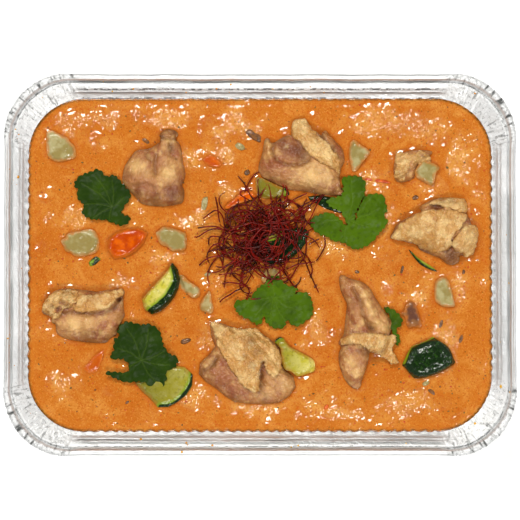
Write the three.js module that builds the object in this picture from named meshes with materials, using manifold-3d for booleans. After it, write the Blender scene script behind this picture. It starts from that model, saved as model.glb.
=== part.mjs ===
// Chicken curry in a rectangular foil tray, with every piece that stands out of its sauce.
// Millimetres, +Z up. The origin is the middle of the tray's flat base.
import * as THREE from 'three';
import { mergeVertices } from 'three/addons/utils/BufferGeometryUtils.js';
import Module from 'manifold-3d';

// The tray, outside sizes
const trayLength = 216; // along X, over the rolled edge
const trayWidth = 161; // along Y
const trayHeight = 38;
const foil = 0.6; // wall, thicker than real foil so that it is a sound solid
const rimWidth = 10.6; // from the wall to the outside of the rolled edge
const cornerBulge = 0.5; // how far the crimped corners stand past the straight sides
const mouthRadius = 24;
const cornerSteps = 6;
const crimpRun = 5; // along the straight side, from its end to where the crimping stops

// The food
const sauceLevel = 31;
const gap = 0.3; // clear space between neighbouring pieces
const grownBy = 0.36; // how far a neighbour is swollen to cut that space
const needlessCorner = 0.04; // a corner that stands out less than this is dropped after the cuts

const halfMouth = [
  trayLength / 2 - rimWidth - cornerBulge,
  trayWidth / 2 - rimWidth - cornerBulge,
];

const finishes = {
  foil: { color: 0xc9cbcc, roughness: 0.3, metalness: 1 },
  sauce: { color: 0xd68a42, roughness: 0.35, metalness: 0 },
  chicken: { color: 0xc99a6b, roughness: 0.5, metalness: 0 },
  potato: { color: 0xb3a67a, roughness: 0.45, metalness: 0 },
  carrot: { color: 0xc2601c, roughness: 0.4, metalness: 0 },
  zucchini: { color: 0x6f7a2a, roughness: 0.4, metalness: 0 },
  aubergine: { color: 0x7a5238, roughness: 0.45, metalness: 0 },
  coriander: { color: 0x3f6412, roughness: 0.5, metalness: 0 },
  chilli: { color: 0x6d1a10, roughness: 0.45, metalness: 0 },
};

// ---- solids ----

const wasm = await Module();
wasm.setup();

// a closed surface of rings, each with the same number of points, with a cap at both ends
function loft(rings) {
  const count = rings[0].length;
  const points = rings.flat();
  const faces = [];
  for (let row = 0; row + 1 < rings.length; row += 1) {
    for (let i = 0; i < count; i += 1) {
      const a = row * count + i;
      const b = row * count + ((i + 1) % count);
      faces.push(a, b, b + count, a, b + count, a + count);
    }
  }
  capRing(points, faces, rings[0], 0, true);
  capRing(points, faces, rings.at(-1), (rings.length - 1) * count, false);
  return closedGeometry(points, faces);
}

function capRing(points, faces, ring, first, turned) {
  const middle = ring.reduce((sum, p) => sum.add(p), new THREE.Vector3()).divideScalar(ring.length);
  points.push(ring.middle ?? middle);
  for (let i = 0; i < ring.length; i += 1) {
    const a = first + i;
    const b = first + ((i + 1) % ring.length);
    faces.push(...(turned ? [b, a, points.length - 1] : [a, b, points.length - 1]));
  }
}

// faces are turned over when they enclose a negative volume
function closedGeometry(points, faces) {
  let volume = 0;
  for (let i = 0; i < faces.length; i += 3) {
    const [a, b, c] = [points[faces[i]], points[faces[i + 1]], points[faces[i + 2]]];
    volume += a.dot(new THREE.Vector3().crossVectors(b, c));
  }
  const geometry = new THREE.BufferGeometry().setFromPoints(points);
  geometry.setIndex(volume < 0 ? faces.toReversed() : faces);
  return geometry;
}

function toSolid(geometry) {
  const merged = mergeVertices(geometry, 1e-4);
  return new wasm.Manifold(new wasm.Mesh({
    numProp: 3,
    vertProperties: new Float32Array(merged.attributes.position.array),
    triVerts: new Uint32Array(merged.index.array),
  }));
}

function toGeometry(solid) {
  const mesh = solid.getMesh();
  const geometry = new THREE.BufferGeometry();
  geometry.setAttribute('position', new THREE.BufferAttribute(mesh.vertProperties, 3));
  geometry.setIndex(new THREE.BufferAttribute(mesh.triVerts, 1));
  return geometry;
}

// the same closed surface, swollen along its normals
function grow(geometry, distance) {
  const grown = geometry.clone();
  grown.computeVertexNormals();
  const position = grown.attributes.position;
  const normal = grown.attributes.normal;
  for (let i = 0; i < position.count; i += 1) {
    position.setXYZ(
      i,
      position.getX(i) + normal.getX(i) * distance,
      position.getY(i) + normal.getY(i) * distance,
      position.getZ(i) + normal.getZ(i) * distance,
    );
  }
  grown.deleteAttribute('normal');
  return grown;
}

// ---- foil tray ----

// a ring of a rounded rectangle, its distance outwards counted from the line of the mouth
function trayRing(out, z, bulge = 0) {
  const radius = mouthRadius + out * (out < 0 ? 0.6 : 0.16);
  const ring = [];
  for (let corner = 0; corner < 4; corner += 1) {
    const middle = [
      (corner === 0 || corner === 3 ? 1 : -1) * (halfMouth[0] + out - radius),
      (corner < 2 ? 1 : -1) * (halfMouth[1] + out - radius),
    ];
    const place = (angle, reach, along) => new THREE.Vector3(
      middle[0] + reach * Math.cos(angle) - along * Math.sin(angle),
      middle[1] + reach * Math.sin(angle) + along * Math.cos(angle),
      z,
    );
    const first = (corner * Math.PI) / 2;
    const last = first + Math.PI / 2;
    ring.push(place(first, radius, -crimpRun));
    for (let step = 0; step <= cornerSteps; step += 1) {
      ring.push(place(first + (step / cornerSteps) * (last - first), radius + bulge, 0));
    }
    ring.push(place(last, radius, crimpRun));
  }
  return ring;
}

function foilTray() {
  const wallFoot = -11.4;
  const bead = 1.6; // radius of the rolled edge
  const beadOut = rimWidth - bead;
  const beadHeight = trayHeight - bead;
  const inside = [
    [-14, foil], [-12.2, 1.5], [wallFoot, 4], [0, sauceLevel],
    [2.2, 35], [3.9, 35.3], [4.4, 36.2], [6.4, 36.4], // a ledge, a step and the flange
  ];
  const outside = [
    [6.7, 35.8], [5, 35.6], [4.5, 34.7], [2.8, 34.4],
    [0.65, sauceLevel], [wallFoot + 0.65, 4], [-11.7, 1.1], [-14, 0],
  ];
  const rings = inside.map(([out, z]) => trayRing(out, z));
  for (let degrees = 135; degrees >= -135; degrees -= 45) {
    const angle = THREE.MathUtils.degToRad(degrees);
    rings.push(trayRing(beadOut + bead * Math.cos(angle), beadHeight + bead * Math.sin(angle), cornerBulge));
  }
  rings.push(...outside.map(([out, z]) => trayRing(out, z)));
  return loft(rings);
}

// ---- sauce ----

function currySauce() {
  const inset = gap + 0.1;
  return loft([
    trayRing(-14 - inset, foil + gap),
    trayRing(-12.4 - inset, 2),
    trayRing(-11.4 - inset, 4),
    trayRing(-inset, sauceLevel),
  ]);
}

// ---- pieces of food ----

// a closed smooth line through a few points round a piece, given from the piece's middle
function outlineRing(points, count) {
  const corners = points.map(([x, y]) => new THREE.Vector3(x, y, 0));
  return new THREE.CatmullRomCurve3(corners, true, 'centripetal').getSpacedPoints(count).slice(0, count);
}

// height of the soft humps (and, with a negative height, creases) at one place
function humpHeight(humps, x, y) {
  return humps.reduce((sum, [atX, atY, width, height]) => (
    sum + height * Math.exp(-((x - atX) ** 2 + (y - atY) ** 2) / width ** 2)
  ), 0);
}

// rows of [share of the outline, share of the crown]
const domeRows = [[1, 0.15], [0.9, 0.62], [0.66, 0.9], [0.34, 1]];
const diceRows = [[1, 0.45], [0.82, 1]];

// a piece that floats in the sauce: its outline, how far its top stands out and how deep it sits
function floating({ at, outline, count, crown, depth, foot, humps = [], lean = [0, 0], rows = domeRows }) {
  const flat = outlineRing(outline, count);
  const rings = (foot ?? [[0.84, -depth]]).map(([share, z]) => (
    flat.map((p) => new THREE.Vector3(at[0] + p.x * share, at[1] + p.y * share, sauceLevel + z))
  ));
  const place = (x, y, share) => {
    const relief = lean[0] * x + lean[1] * y + humpHeight(humps, x, y);
    const height = crown * share + relief * Math.min(1, share * 1.4);
    return new THREE.Vector3(at[0] + x, at[1] + y, sauceLevel + height);
  };
  rows.forEach(([share, height]) => rings.push(flat.map((p) => place(p.x * share, p.y * share, height))));
  rings.at(-1).middle = place(0, 0, 1);
  return loft(rings);
}

// a thin leaf that lies over the sauce, bowed across its middle
function leaf({ at, outline, count, level, bow }) {
  const thickness = 0.5;
  const shape = new THREE.Shape(outlineRing(outline, count).map((p) => new THREE.Vector2(p.x, p.y)));
  const geometry = new THREE.ExtrudeGeometry(shape, { depth: thickness, bevelEnabled: false });
  geometry.deleteAttribute('normal');
  geometry.deleteAttribute('uv');
  const position = geometry.attributes.position;
  for (let i = 0; i < position.count; i += 1) {
    const [x, y] = [position.getX(i), position.getY(i)];
    const rise = bow[0] * x + bow[1] * y + bow[2] * Math.hypot(x, y);
    position.setXYZ(i, at[0] + x, at[1] + y, sauceLevel + level + rise + position.getZ(i));
  }
  return mergeVertices(geometry, 1e-4);
}

const chicken = { count: 26, depth: 8, finish: 'chicken', make: floating };
const dice = { count: 10, depth: 5, finish: 'potato', make: floating, rows: diceRows };
const carrot = { ...dice, finish: 'carrot' };
const zucchini = { ...dice, count: 14, finish: 'zucchini' };
const coriander = { count: 46, finish: 'coriander', make: leaf };

// Each piece gives way to those before it, and the sauce to all of them.
const pieces = [
  {
    ...chicken,
    name: 'chicken_1', // thigh with a narrow neck at the back
    at: [-43, 39],
    crown: 6,
    outline: [
      [1, 13.5], [-2, 10.5], [-8, 9.5], [-13, 4.5], [-14.5, -2], [-12, -8], [-7.5, -12.5], [-1, -13.5],
      [6, -14], [11, -11.5], [10, -6], [11.5, 0], [10.5, 5.5], [9.5, 11], [7, 16], [4, 18.5], [1, 17],
    ],
    humps: [[-6, 0, 6, 1], [6, -1, 4.5, 1.4], [0.5, 0, 2.5, -1.5], [4, 15, 3, 1.5]],
  },
  {
    ...chicken,
    name: 'chicken_2', // largest piece at the back, a flap across its middle
    at: [19, 44],
    crown: 6.5,
    outline: [
      [-6, 11], [-12, 7.5], [-16.5, 9], [-17.5, 5], [-19.5, -1.5], [-18, -5.5], [-11, -10], [-1, -12.5],
      [9.5, -15], [16.5, -13], [15, -6], [16.5, 0.5], [14.5, 6.5], [8.5, 12.5], [2.5, 13.5], [-0.5, 17.5],
      [-5, 16.5],
    ],
    humps: [[-6, 4, 4, -1.2], [6, -6, 6, 1], [6, 8, 5, 1.2], [-15, 4, 3, 1]],
  },
  {
    ...chicken,
    name: 'chicken_3', // curled scrap of skin
    at: [63, 43],
    crown: 3.6,
    depth: 2,
    outline: [
      [-5, -8], [2.5, -6], [2.5, -3.5], [5, 1.5], [10.5, 4.5], [2.5, 5.5], [-4, 3.5], [-6.5, -1],
    ],
  },
  {
    ...chicken,
    name: 'chicken_4', // broad piece at the right, skin over its front
    at: [76, 15],
    crown: 6,
    outline: [
      [-17, 3.5], [-21, -3.5], [-11, -5.5], [-2.5, -10.5], [4, -15], [8, -11.5], [12, -11.5], [15, -6.5],
      [16, 0.5], [11.5, 6], [10, 13], [3, 13.5], [-4.5, 12], [-11, 7],
    ],
    humps: [[8, -4, 5, 1.2], [-6, 0, 5, 1], [2, -8, 3, -1.2], [5, 10, 4, -1]],
  },
  {
    ...chicken,
    name: 'chicken_5', // left piece, a knobbly flap along its back edge
    at: [-73, -21],
    crown: 5.5,
    outline: [
      [-14.5, -1.5], [-12, -8], [-4, -11], [6, -11], [12.5, -7], [15.5, 1], [15.5, 10], [7.5, 10],
      [-0.5, 9.5], [-8.5, 11], [-15.5, 9], [-18.5, 3.5],
    ],
    humps: [[-10, 4, 5, 1.2], [3, 6, 5, 0.8], [2, -4, 7, 0.8], [0, 1, 3, -1]],
  },
  {
    ...chicken,
    name: 'chicken_6', // front piece, a pointed flap of skin over pink meat
    at: [-6, -43],
    crown: 6,
    outline: [
      [-14.5, 13], [-13, 8], [-19.5, 1], [-19.5, -4], [-12.5, -9], [-5.5, -14.5], [3, -15.5], [14, -15],
      [19, -11.5], [21.5, -6], [15, 0], [14, 8.5], [9.5, 12], [3.5, 16], [-2, 15.5], [-10.5, 18.5], [-15, 18],
    ],
    humps: [[-3, 6, 7, 1.4], [8, 2, 4, 1], [5.5, -5, 2.5, -1.5], [12, -9, 4, 0.8]],
  },
  {
    ...chicken,
    name: 'chicken_7', // long strip, a flap folded across it
    at: [44, -28],
    crown: 5.5,
    outline: [
      [-10, 18], [-7.5, 9.5], [-8, 1.5], [-10, -5], [-11, -12], [-8.5, -19], [-3.5, -24.5], [0.5, -17],
      [3, -10], [11, -14], [14, -11.5], [12, -9], [14, -3.5], [10.5, -1], [11.5, 5], [7.5, 10], [3.5, 17],
      [-2.5, 22], [-10.5, 24],
    ],
    humps: [[2, -5, 5, 1.4], [0, 6, 5, 0.8], [-5, -14, 4, -0.8]],
  },
  {
    ...zucchini,
    name: 'zucchini_1', // upright wedge, skin to the right
    at: [-41, -11],
    crown: 3.6,
    outline: [[2, 8.5], [-3, 3], [-9, -5], [-4.5, -10], [0.5, -7.5], [5, -2.5], [7, 2.5], [7, 7.5], [4, 12]],
    lean: [-0.12, 0.06],
  },
  {
    ...zucchini,
    name: 'zucchini_2', // half slice, half under a leaf
    at: [-39, -51],
    crown: 1.8,
    outline: [
      [-13.5, 1], [-8, -4.5], [-3, -9.5], [4, -7], [9, -2.5], [11, 3.5], [8, 7.5], [2, 8.5], [-7, 6],
    ],
  },
  {
    ...zucchini,
    name: 'zucchini_3', // slice tucked against the front chicken
    at: [14, -40],
    crown: 2.6,
    outline: [
      [-6, 2], [-4.5, -4], [1.5, -7.5], [7, -5.5], [9, -2], [6.5, 1], [-1, 5], [-4.5, 9.5], [-7.5, 8.5],
    ],
  },
  {
    ...zucchini,
    name: 'zucchini_4', // end cut, skin side up
    at: [71, -40],
    crown: 4.2,
    outline: [[-5, -8], [5, -5.5], [11.5, -1], [9, 5], [5, 9], [1, 9], [-7.5, 5], [-11, -2.5]],
    rows: domeRows,
  },
  {
    ...zucchini,
    name: 'zucchini_5', // slice under the back chicken's edge
    at: [6, 33],
    crown: 1.8,
    outline: [[-5, -4], [0.5, -5], [6.5, -3], [7, 0], [-1, 6], [-7, 4]],
  },
  {
    ...zucchini,
    name: 'zucchini_6', // strip of skin between chicken and leaf
    at: [29, 26],
    crown: 0.9,
    outline: [[-5.5, 0], [0.5, -3], [7, -4], [7, -0.5], [-1, 3], [-9.5, 2.5]],
  },
  {
    ...zucchini,
    name: 'zucchini_7', // slice under the chilli threads
    at: [10, 9],
    crown: 2.2,
    outline: [
      [-9.5, -4.5], [-6.5, -9], [-0.5, -8], [6, -4], [9.5, 0.5], [10.5, 6.5], [8, 7], [-1.5, 5.5], [-9, 3],
    ],
  },
  {
    ...zucchini,
    name: 'zucchini_8', // thin sliver beside the right chicken
    at: [68, 1],
    count: 12,
    crown: 0.9,
    depth: 2,
    outline: [[-4, 2], [0, -1], [5.5, -4], [6.5, -3.5], [1, 0.6], [-2.5, 3.4], [-5.5, 6]],
  },
  {
    ...dice,
    name: 'potato_1',
    at: [-85, 50],
    crown: 2,
    outline: [[-5, 1.5], [-3, -5], [1, -6.5], [7, -3], [5, 1], [1, 5.5], [-5, 6.5]],
  },
  {
    ...dice,
    name: 'potato_2',
    at: [-76, 9],
    crown: 1.8,
    outline: [[-5.5, -3], [1, -5.5], [7.5, -1.5], [7.5, 4], [-0.5, 6], [-8.5, 1.5]],
  },
  {
    ...dice,
    name: 'potato_3',
    at: [-37, 11],
    crown: 2.2,
    outline: [[-2.5, -3], [5.5, -5.5], [5.5, 2], [-3, 5], [-7, 2]],
  },
  {
    ...dice,
    name: 'potato_4',
    at: [41, 46],
    crown: 1.8,
    outline: [[-1.5, -6.5], [1, -5], [5.5, 2], [-1, 6.5], [-3.5, 1]],
  },
  {
    ...dice,
    name: 'potato_5',
    at: [71, 39],
    crown: 2.2,
    outline: [[-3.5, -3], [2.5, -5.5], [5, 2.5], [-2.5, 5.5], [-5, 0]],
  },
  {
    ...dice,
    name: 'potato_6',
    at: [78, -12],
    crown: 2,
    outline: [[-2, -5], [4, -6], [3.5, -0.5], [1, 7], [-4.5, 4]],
  },
  {
    ...dice,
    name: 'potato_7',
    at: [-30, -9],
    crown: 1.6,
    outline: [[-1.5, -1.5], [1, -5.5], [5.5, -3.5], [3.5, 0], [-1.5, 4.5], [-4, 5]],
  },
  {
    ...dice,
    name: 'potato_8',
    at: [-22, -16],
    crown: 1.6,
    outline: [[-1.5, 3], [-3.5, -1.5], [1, -5], [2, -0.5], [1, 5.5]],
  },
  {
    ...dice,
    name: 'potato_9',
    at: [4, -5],
    crown: 1.4,
    outline: [[-3.5, 1], [-3, -3], [4, -1.5], [4.5, 2.5], [-0.5, 4]],
  },
  {
    ...carrot,
    name: 'carrot_1',
    at: [-57, 9],
    crown: 2.6,
    outline: [[-4.5, -6.5], [3.5, -4], [7.5, -0.5], [9.5, 5.5], [-0.5, 6], [-4.5, 4], [-8, 0]],
  },
  {
    ...carrot,
    name: 'carrot_2',
    at: [-7, 28],
    crown: 1.8,
    outline: [[0.5, -2], [6.5, 0.5], [3.5, 3.5], [-3, 1], [-8, -4.5]],
  },
  {
    ...carrot,
    name: 'carrot_3',
    at: [-20, 44],
    crown: 1,
    outline: [[-1.5, -2.5], [4, -2.5], [3, 0], [-1, 2.5], [-4.5, 0.5]],
  },
  {
    ...carrot,
    name: 'carrot_4',
    at: [-69, -41],
    crown: 1,
    outline: [[3.5, 5.5], [-1, 2.5], [-4.5, -3.5], [-1, -3.5], [3, 1.5]],
  },
  {
    ...dice,
    name: 'aubergine_1',
    finish: 'aubergine',
    at: [64, -21],
    crown: 1.8,
    outline: [[-3.5, -1.5], [-1.5, -6], [2.5, -5.5], [4, -3], [2, 2.5], [0, 6], [-4.5, 3]],
  },
  {
    ...chicken,
    name: 'chilli_threads', // the tuft's rough outline, heaped in the middle
    finish: 'chilli',
    at: [2, 9],
    crown: 7,
    foot: [[0.9, 0.35]], // lies on the sauce
    outline: [
      [-14, 1.5], [-13.5, -5], [-11, -13.5], [-7.5, -20], [-3.5, -20], [0, -14], [1.5, -8], [8.5, -4],
      [16, -1.5], [18, 4.5], [15.5, 10.5], [11.5, 15], [6.5, 15.5], [0, 13], [-5, 10], [-12.5, 7],
    ],
    humps: [[-6, 2, 4, 1], [6, 7, 4, 1.2], [-6, -13, 4, -1.5]],
  },
  {
    ...coriander,
    name: 'coriander_1', // dark fan on the left
    at: [-66, 29],
    level: 1.2,
    bow: [0.03, 0.02, -0.04],
    outline: [
      [-5, 10.5], [-10, 8.5], [-12.5, 4.5], [-10.5, 2.5], [-11.5, 0], [-8, -4.5], [-9.5, -6.5], [-6, -9.5],
      [0.5, -10], [8.5, -12.5], [11.5, -9], [7.5, -7.5], [8, -5.5], [11.5, 0.5], [8.5, 4.5], [4, 9], [1.5, 8],
      [-2.5, 11.5],
    ],
  },
  {
    ...coriander,
    name: 'coriander_2', // bright leaf of three lobes, split by two slits
    at: [39, 21],
    count: 64,
    level: 1.6,
    bow: [0, 0.02, -0.03],
    outline: [
      [1, -14.5], [7.5, -12], [11, -8], [15, -2.5], [13, -0.5], [15, 2.5], [13.5, 5], [14, 7.5], [10, 9],
      [5, 7.5], [2, 0], [1.5, -3.5], [1, 0], [4.5, 7], [5.5, 13], [4.5, 15.5], [-1, 16.5], [-5.5, 14.5],
      [-3.5, 10], [-5, 8], [-11, 6.5], [-9, 3], [-5, 1.5], [-2, -5], [-7.5, 0], [-10.5, 1], [-18, -2.5],
      [-15.5, -7], [-12, -9], [-10, -8.5], [-9.5, -10.5], [-4, -11.5],
    ],
  },
  {
    ...coriander,
    name: 'coriander_3', // dark folded sprig with one long bright lobe
    at: [-49, -38],
    level: 2.6,
    bow: [0, 0.03, -0.03],
    outline: [
      [-11, 10], [-10, 7.5], [-12.5, 6.5], [-12.5, 2], [-14.5, -1.5], [-7.5, -2], [-6, -7], [-16.5, -7],
      [-7, -11.5], [-1, -11], [6.5, -14.5], [9.5, -10.5], [9.5, -6.5], [13, -5.5], [14.5, -1], [11.5, 0],
      [8.5, 3.5], [6.5, 10.5], [2, 13], [-1, 12.5], [-8, 14],
    ],
  },
  {
    ...coriander,
    name: 'coriander_4', // bright leaf in front of the threads
    at: [7, -17],
    count: 56,
    level: 1.5,
    bow: [0.01, 0.05, -0.03],
    outline: [
      [-4.5, 9.5], [-8, 7], [-11.5, 2.5], [-17.5, 1.5], [-17, -2.5], [-14, -5], [-11, -6.5], [-7, -8.5],
      [-5.5, -4], [-4.5, -7], [0, -10], [3.5, -9], [4, -6], [7.5, -9], [12, -7], [15, -4], [14.5, 2.5],
      [12, 5.5], [7, 4.5], [9, 6.5], [3, 9], [1, 12], [-2, 12],
    ],
  },
  {
    ...coriander,
    name: 'coriander_5', // toothed leaf beside the long strip of chicken
    at: [55, -25],
    count: 28,
    level: 1,
    bow: [0, 0, -0.03],
    outline: [
      [-4.5, 2.5], [-2.5, -4.5], [3, -9], [4, -6], [2, -2.5], [3.5, -1.5], [5, 1], [3.5, 4], [0, 6.5],
      [-3, 7],
    ],
  },
];

// ---- assembly ----

const curry = new THREE.Group();

function addNode(name, geometry, finish) {
  const mesh = new THREE.Mesh(geometry, new THREE.MeshStandardMaterial(finishes[finish]));
  mesh.name = name;
  curry.add(mesh);
}

// the largest of the bodies that the cuts leave, without its needless corners
function largestBody(solid) {
  const largest = solid.decompose().reduce((best, body) => (body.volume() > best.volume() ? body : best));
  return largest.simplify(needlessCorner);
}

addNode('foil_tray', foilTray(), 'foil');

const swollen = [];
for (const piece of pieces) {
  const geometry = piece.make(piece);
  let solid = toSolid(geometry);
  swollen.forEach((other) => { solid = solid.subtract(other); });
  addNode(piece.name, toGeometry(largestBody(solid)), piece.finish);
  swollen.push(toSolid(grow(geometry, grownBy)));
}

let sauce = toSolid(currySauce());
swollen.forEach((other) => { sauce = sauce.subtract(other); });
addNode('curry_sauce', toGeometry(largestBody(sauce)), 'sauce');

export default curry;
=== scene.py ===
import math
import random
import bmesh
import bpy
import numpy as np
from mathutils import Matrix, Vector
from mathutils.bvhtree import BVHTree


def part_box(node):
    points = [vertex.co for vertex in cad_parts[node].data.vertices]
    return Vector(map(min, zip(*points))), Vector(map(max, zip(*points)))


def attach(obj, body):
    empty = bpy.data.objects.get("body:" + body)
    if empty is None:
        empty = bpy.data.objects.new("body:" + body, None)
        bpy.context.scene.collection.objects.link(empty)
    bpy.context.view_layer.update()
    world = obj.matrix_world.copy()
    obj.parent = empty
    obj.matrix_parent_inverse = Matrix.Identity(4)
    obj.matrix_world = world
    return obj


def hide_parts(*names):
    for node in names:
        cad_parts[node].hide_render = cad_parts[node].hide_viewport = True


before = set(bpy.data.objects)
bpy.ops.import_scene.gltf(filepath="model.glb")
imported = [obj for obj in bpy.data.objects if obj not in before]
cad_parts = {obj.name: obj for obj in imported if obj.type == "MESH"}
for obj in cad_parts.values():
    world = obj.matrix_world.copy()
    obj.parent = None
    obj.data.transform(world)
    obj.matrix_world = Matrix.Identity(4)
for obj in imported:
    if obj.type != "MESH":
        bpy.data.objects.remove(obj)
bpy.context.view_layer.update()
mm = 0.001
bodyName = "root"
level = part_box("curry_sauce")[1].z / mm  # height of the sauce, in mm
print("frame loaded, sauce level", round(level, 2), "mm")


def tone(red, green, blue):
    # a colour as seen on a screen, each 0 to 255, turned into the shader's linear values
    linear = [((c / 255 + 0.055) / 1.055) ** 2.4 if c > 10 else c / 255 / 12.92 for c in (red, green, blue)]
    return (*linear, 1)


# shader building

class Value:
    def __init__(self, finish, socket):
        self.finish = finish
        self.socket = socket

    def __add__(self, other):
        return self.finish.maths("ADD", self, other)

    def __sub__(self, other):
        return self.finish.maths("SUBTRACT", self, other)

    def __rsub__(self, other):
        return self.finish.maths("SUBTRACT", other, self)

    def __mul__(self, other):
        return self.finish.maths("MULTIPLY", self, other)

    __radd__ = __add__
    __rmul__ = __mul__


class Finish:
    def __init__(self, name):
        self.material = bpy.data.materials.new(name)
        self.material.use_nodes = True
        self.tree = self.material.node_tree
        self.tree.nodes.clear()
        self.place = self.node("ShaderNodeTexCoord", out="Object")

    def node(self, kind, settings=None, inputs=None, out=0):
        made = self.tree.nodes.new(kind)
        for key, value in (settings or {}).items():
            setattr(made, key, value)
        for key, value in (inputs or {}).items():
            if isinstance(value, Value):
                self.tree.links.new(value.socket, made.inputs[key])
            else:
                made.inputs[key].default_value = value
        return Value(self, made.outputs[out])

    def maths(self, operation, *values):
        return self.node("ShaderNodeMath", {"operation": operation}, dict(enumerate(values)))

    def mix(self, first, second, share):
        return self.node("ShaderNodeMix", {"data_type": "RGBA"}, {0: share, 6: first, 7: second}, 2)

    def over(self, colour, *layers):
        # lays tints over a colour one by one, each with the share that it covers
        for tint, share in layers:
            colour = self.mix(colour, tint, share)
        return colour

    def swung(self, turn):
        # places turned about the upright axis, for a noise that doesn't lie on another
        return self.node("ShaderNodeMapping", {}, {"Vector": self.place, "Rotation": (0, 0, turn)})

    def grain(self, size, detail=3, rough=0.5, vector=None, distortion=0):
        # soft noise whose blots are about this many millimetres across
        inputs = {"Vector": vector or self.place, "Scale": 1 / (size * mm), "Detail": detail,
                  "Roughness": rough, "Distortion": distortion}
        return self.node("ShaderNodeTexNoise", {}, inputs, "Fac")

    def dots(self, pitch, vector=None):
        # distance from scattered points, as a share of the pitch in millimetres
        inputs = {"Vector": vector or self.place, "Scale": 1 / (pitch * mm)}
        return self.node("ShaderNodeTexVoronoi", {}, inputs, "Distance")

    def between(self, value, low, high):
        # 0 at low, 1 at high, smooth on the way
        return self.node("ShaderNodeMapRange", {"interpolation_type": "SMOOTHSTEP"},
                         {"Value": value, "From Min": low, "From Max": high})

    def mark(self, name):
        return self.node("ShaderNodeAttribute", {"attribute_name": name}, {}, "Fac")

    def bump(self, height, depth, under=None):
        # depth is the relief in millimetres between height 0 and 1
        inputs = {"Height": height, "Strength": 1.0, "Distance": depth * mm}
        if under:
            inputs["Normal"] = under
        return self.node("ShaderNodeBump", {}, inputs)

    def shade(self, colour, roughness, normal=None, **fixed):
        inputs = {"Base Color": colour, "Roughness": roughness}
        if normal:
            inputs["Normal"] = normal
        inputs.update({key.replace("_", " "): value for key, value in fixed.items()})
        shader = self.node("ShaderNodeBsdfPrincipled", {}, inputs)
        last = self.tree.nodes.new("ShaderNodeOutputMaterial")
        self.tree.links.new(shader.socket, last.inputs["Surface"])
        return self.material


# mesh building

def startClean():
    if bpy.context.mode != "OBJECT":
        bpy.ops.object.mode_set(mode="OBJECT")
    bpy.ops.object.select_all(action="DESELECT")


def pick(piece):
    # selects this piece alone and makes it the active one
    startClean()
    piece.select_set(True)
    bpy.context.view_layer.objects.active = piece


def edit(piece, mode="VERT"):
    bpy.context.view_layer.objects.active = piece
    bpy.ops.object.mode_set(mode="EDIT")
    bpy.ops.mesh.select_mode(type=mode)


def done():
    bpy.ops.object.mode_set(mode="OBJECT")


def faceOutwards():
    # ends the editing of a closed shape
    bpy.ops.mesh.select_all(action="SELECT")
    bpy.ops.mesh.normals_make_consistent(inside=False)
    done()


def applyPlace(piece):
    pick(piece)
    bpy.ops.object.transform_apply(location=True, rotation=True, scale=True)


def joined(parts):
    # makes one piece of several; it keeps the name of the first
    startClean()
    for part in parts:
        part.select_set(True)
    bpy.context.view_layer.objects.active = parts[0]
    if len(parts) > 1:
        bpy.ops.object.join()
    return parts[0]


def modify(piece, kind, **settings):
    bpy.context.view_layer.objects.active = piece
    made = piece.modifiers.new(kind.title(), kind)
    for key, value in settings.items():
        setattr(made, key, value)
    bpy.ops.object.modifier_apply(modifier=made.name)


def points(piece):
    places = np.zeros(len(piece.data.vertices) * 3)
    piece.data.vertices.foreach_get("co", places)
    return places.reshape(-1, 3)


def setPoints(piece, places):
    piece.data.vertices.foreach_set("co", places.ravel())
    piece.data.update()


def setMark(piece, name, values):
    made = piece.data.attributes.new(name, "FLOAT", "POINT")
    made.data.foreach_set("value", np.asarray(values, np.float32))


def mark(piece, count, **marks):
    # point attributes for the finish; points past count get 1 for the wet edge (with its painted shade),
    # skin and edge, 0 for the others
    for name, values in marks.items():
        rest = np.full(len(piece.data.vertices) - count, 1.0 if name in ("wetAndShade", "skin", "edge") else 0.0)
        setMark(piece, name, np.concatenate([values, rest]))


def treeOf(piece):
    corners = [vertex.co[:] for vertex in piece.data.vertices]
    return BVHTree.FromPolygons(corners, [face.vertices[:] for face in piece.data.polygons])


def selectFaces(piece, chosen):
    for part in (piece.data.vertices, piece.data.edges):
        part.foreach_set("select", np.zeros(len(part), bool))
    piece.data.polygons.foreach_set("select", chosen)


def faceMiddles(piece):
    middles = np.zeros(len(piece.data.polygons) * 3)
    piece.data.polygons.foreach_get("center", middles)
    return middles.reshape(-1, 3)


def rimOf(piece):
    # which vertices lie on an open edge
    shape = bmesh.new()
    shape.from_mesh(piece.data)
    rim = np.array([vertex.is_boundary for vertex in shape.verts])
    shape.free()
    return rim


farAway = 1e9


def measure(places, outline):
    # for each place in plan: inside the outline or not, how far from it, and the nearest spot on it
    inside = np.zeros(len(places), bool)
    away = np.full(len(places), farAway)
    nearest = np.zeros((len(places), 2))
    for start, end in zip(outline, np.roll(outline, -1, axis=0)):
        run = end - start
        share = np.clip((places - start) @ run / max(run @ run, 1e-12), 0, 1)
        spot = start + share[:, None] * run
        gap = np.hypot(*(places - spot).T)
        closer = gap < away
        away[closer] = gap[closer]
        nearest[closer] = spot[closer]
        if start[1] != end[1]:
            crosses = (start[1] > places[:, 1]) != (end[1] > places[:, 1])
            inside ^= crosses & (places[:, 0] < start[0] + (places[:, 1] - start[1]) * run[0] / run[1])
    return inside, away, nearest


def smoothLine(corners, steps, closed=True):
    # a smooth line through a few places
    corners = np.array(corners, float)
    count = len(corners)
    places = []
    for i in range(count if closed else count - 1):
        a, b, c, d = [corners[j % count] if closed else corners[min(max(j, 0), count - 1)]
                      for j in range(i - 1, i + 3)]
        for t in np.arange(steps) / steps:
            places.append(0.5 * (2 * b + (c - a) * t + (2 * a - 5 * b + 4 * c - d) * t ** 2
                                 + (3 * b - a - 3 * c + d) * t ** 3))
    if not closed:
        places.append(corners[-1])
    return np.array(places)


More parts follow.
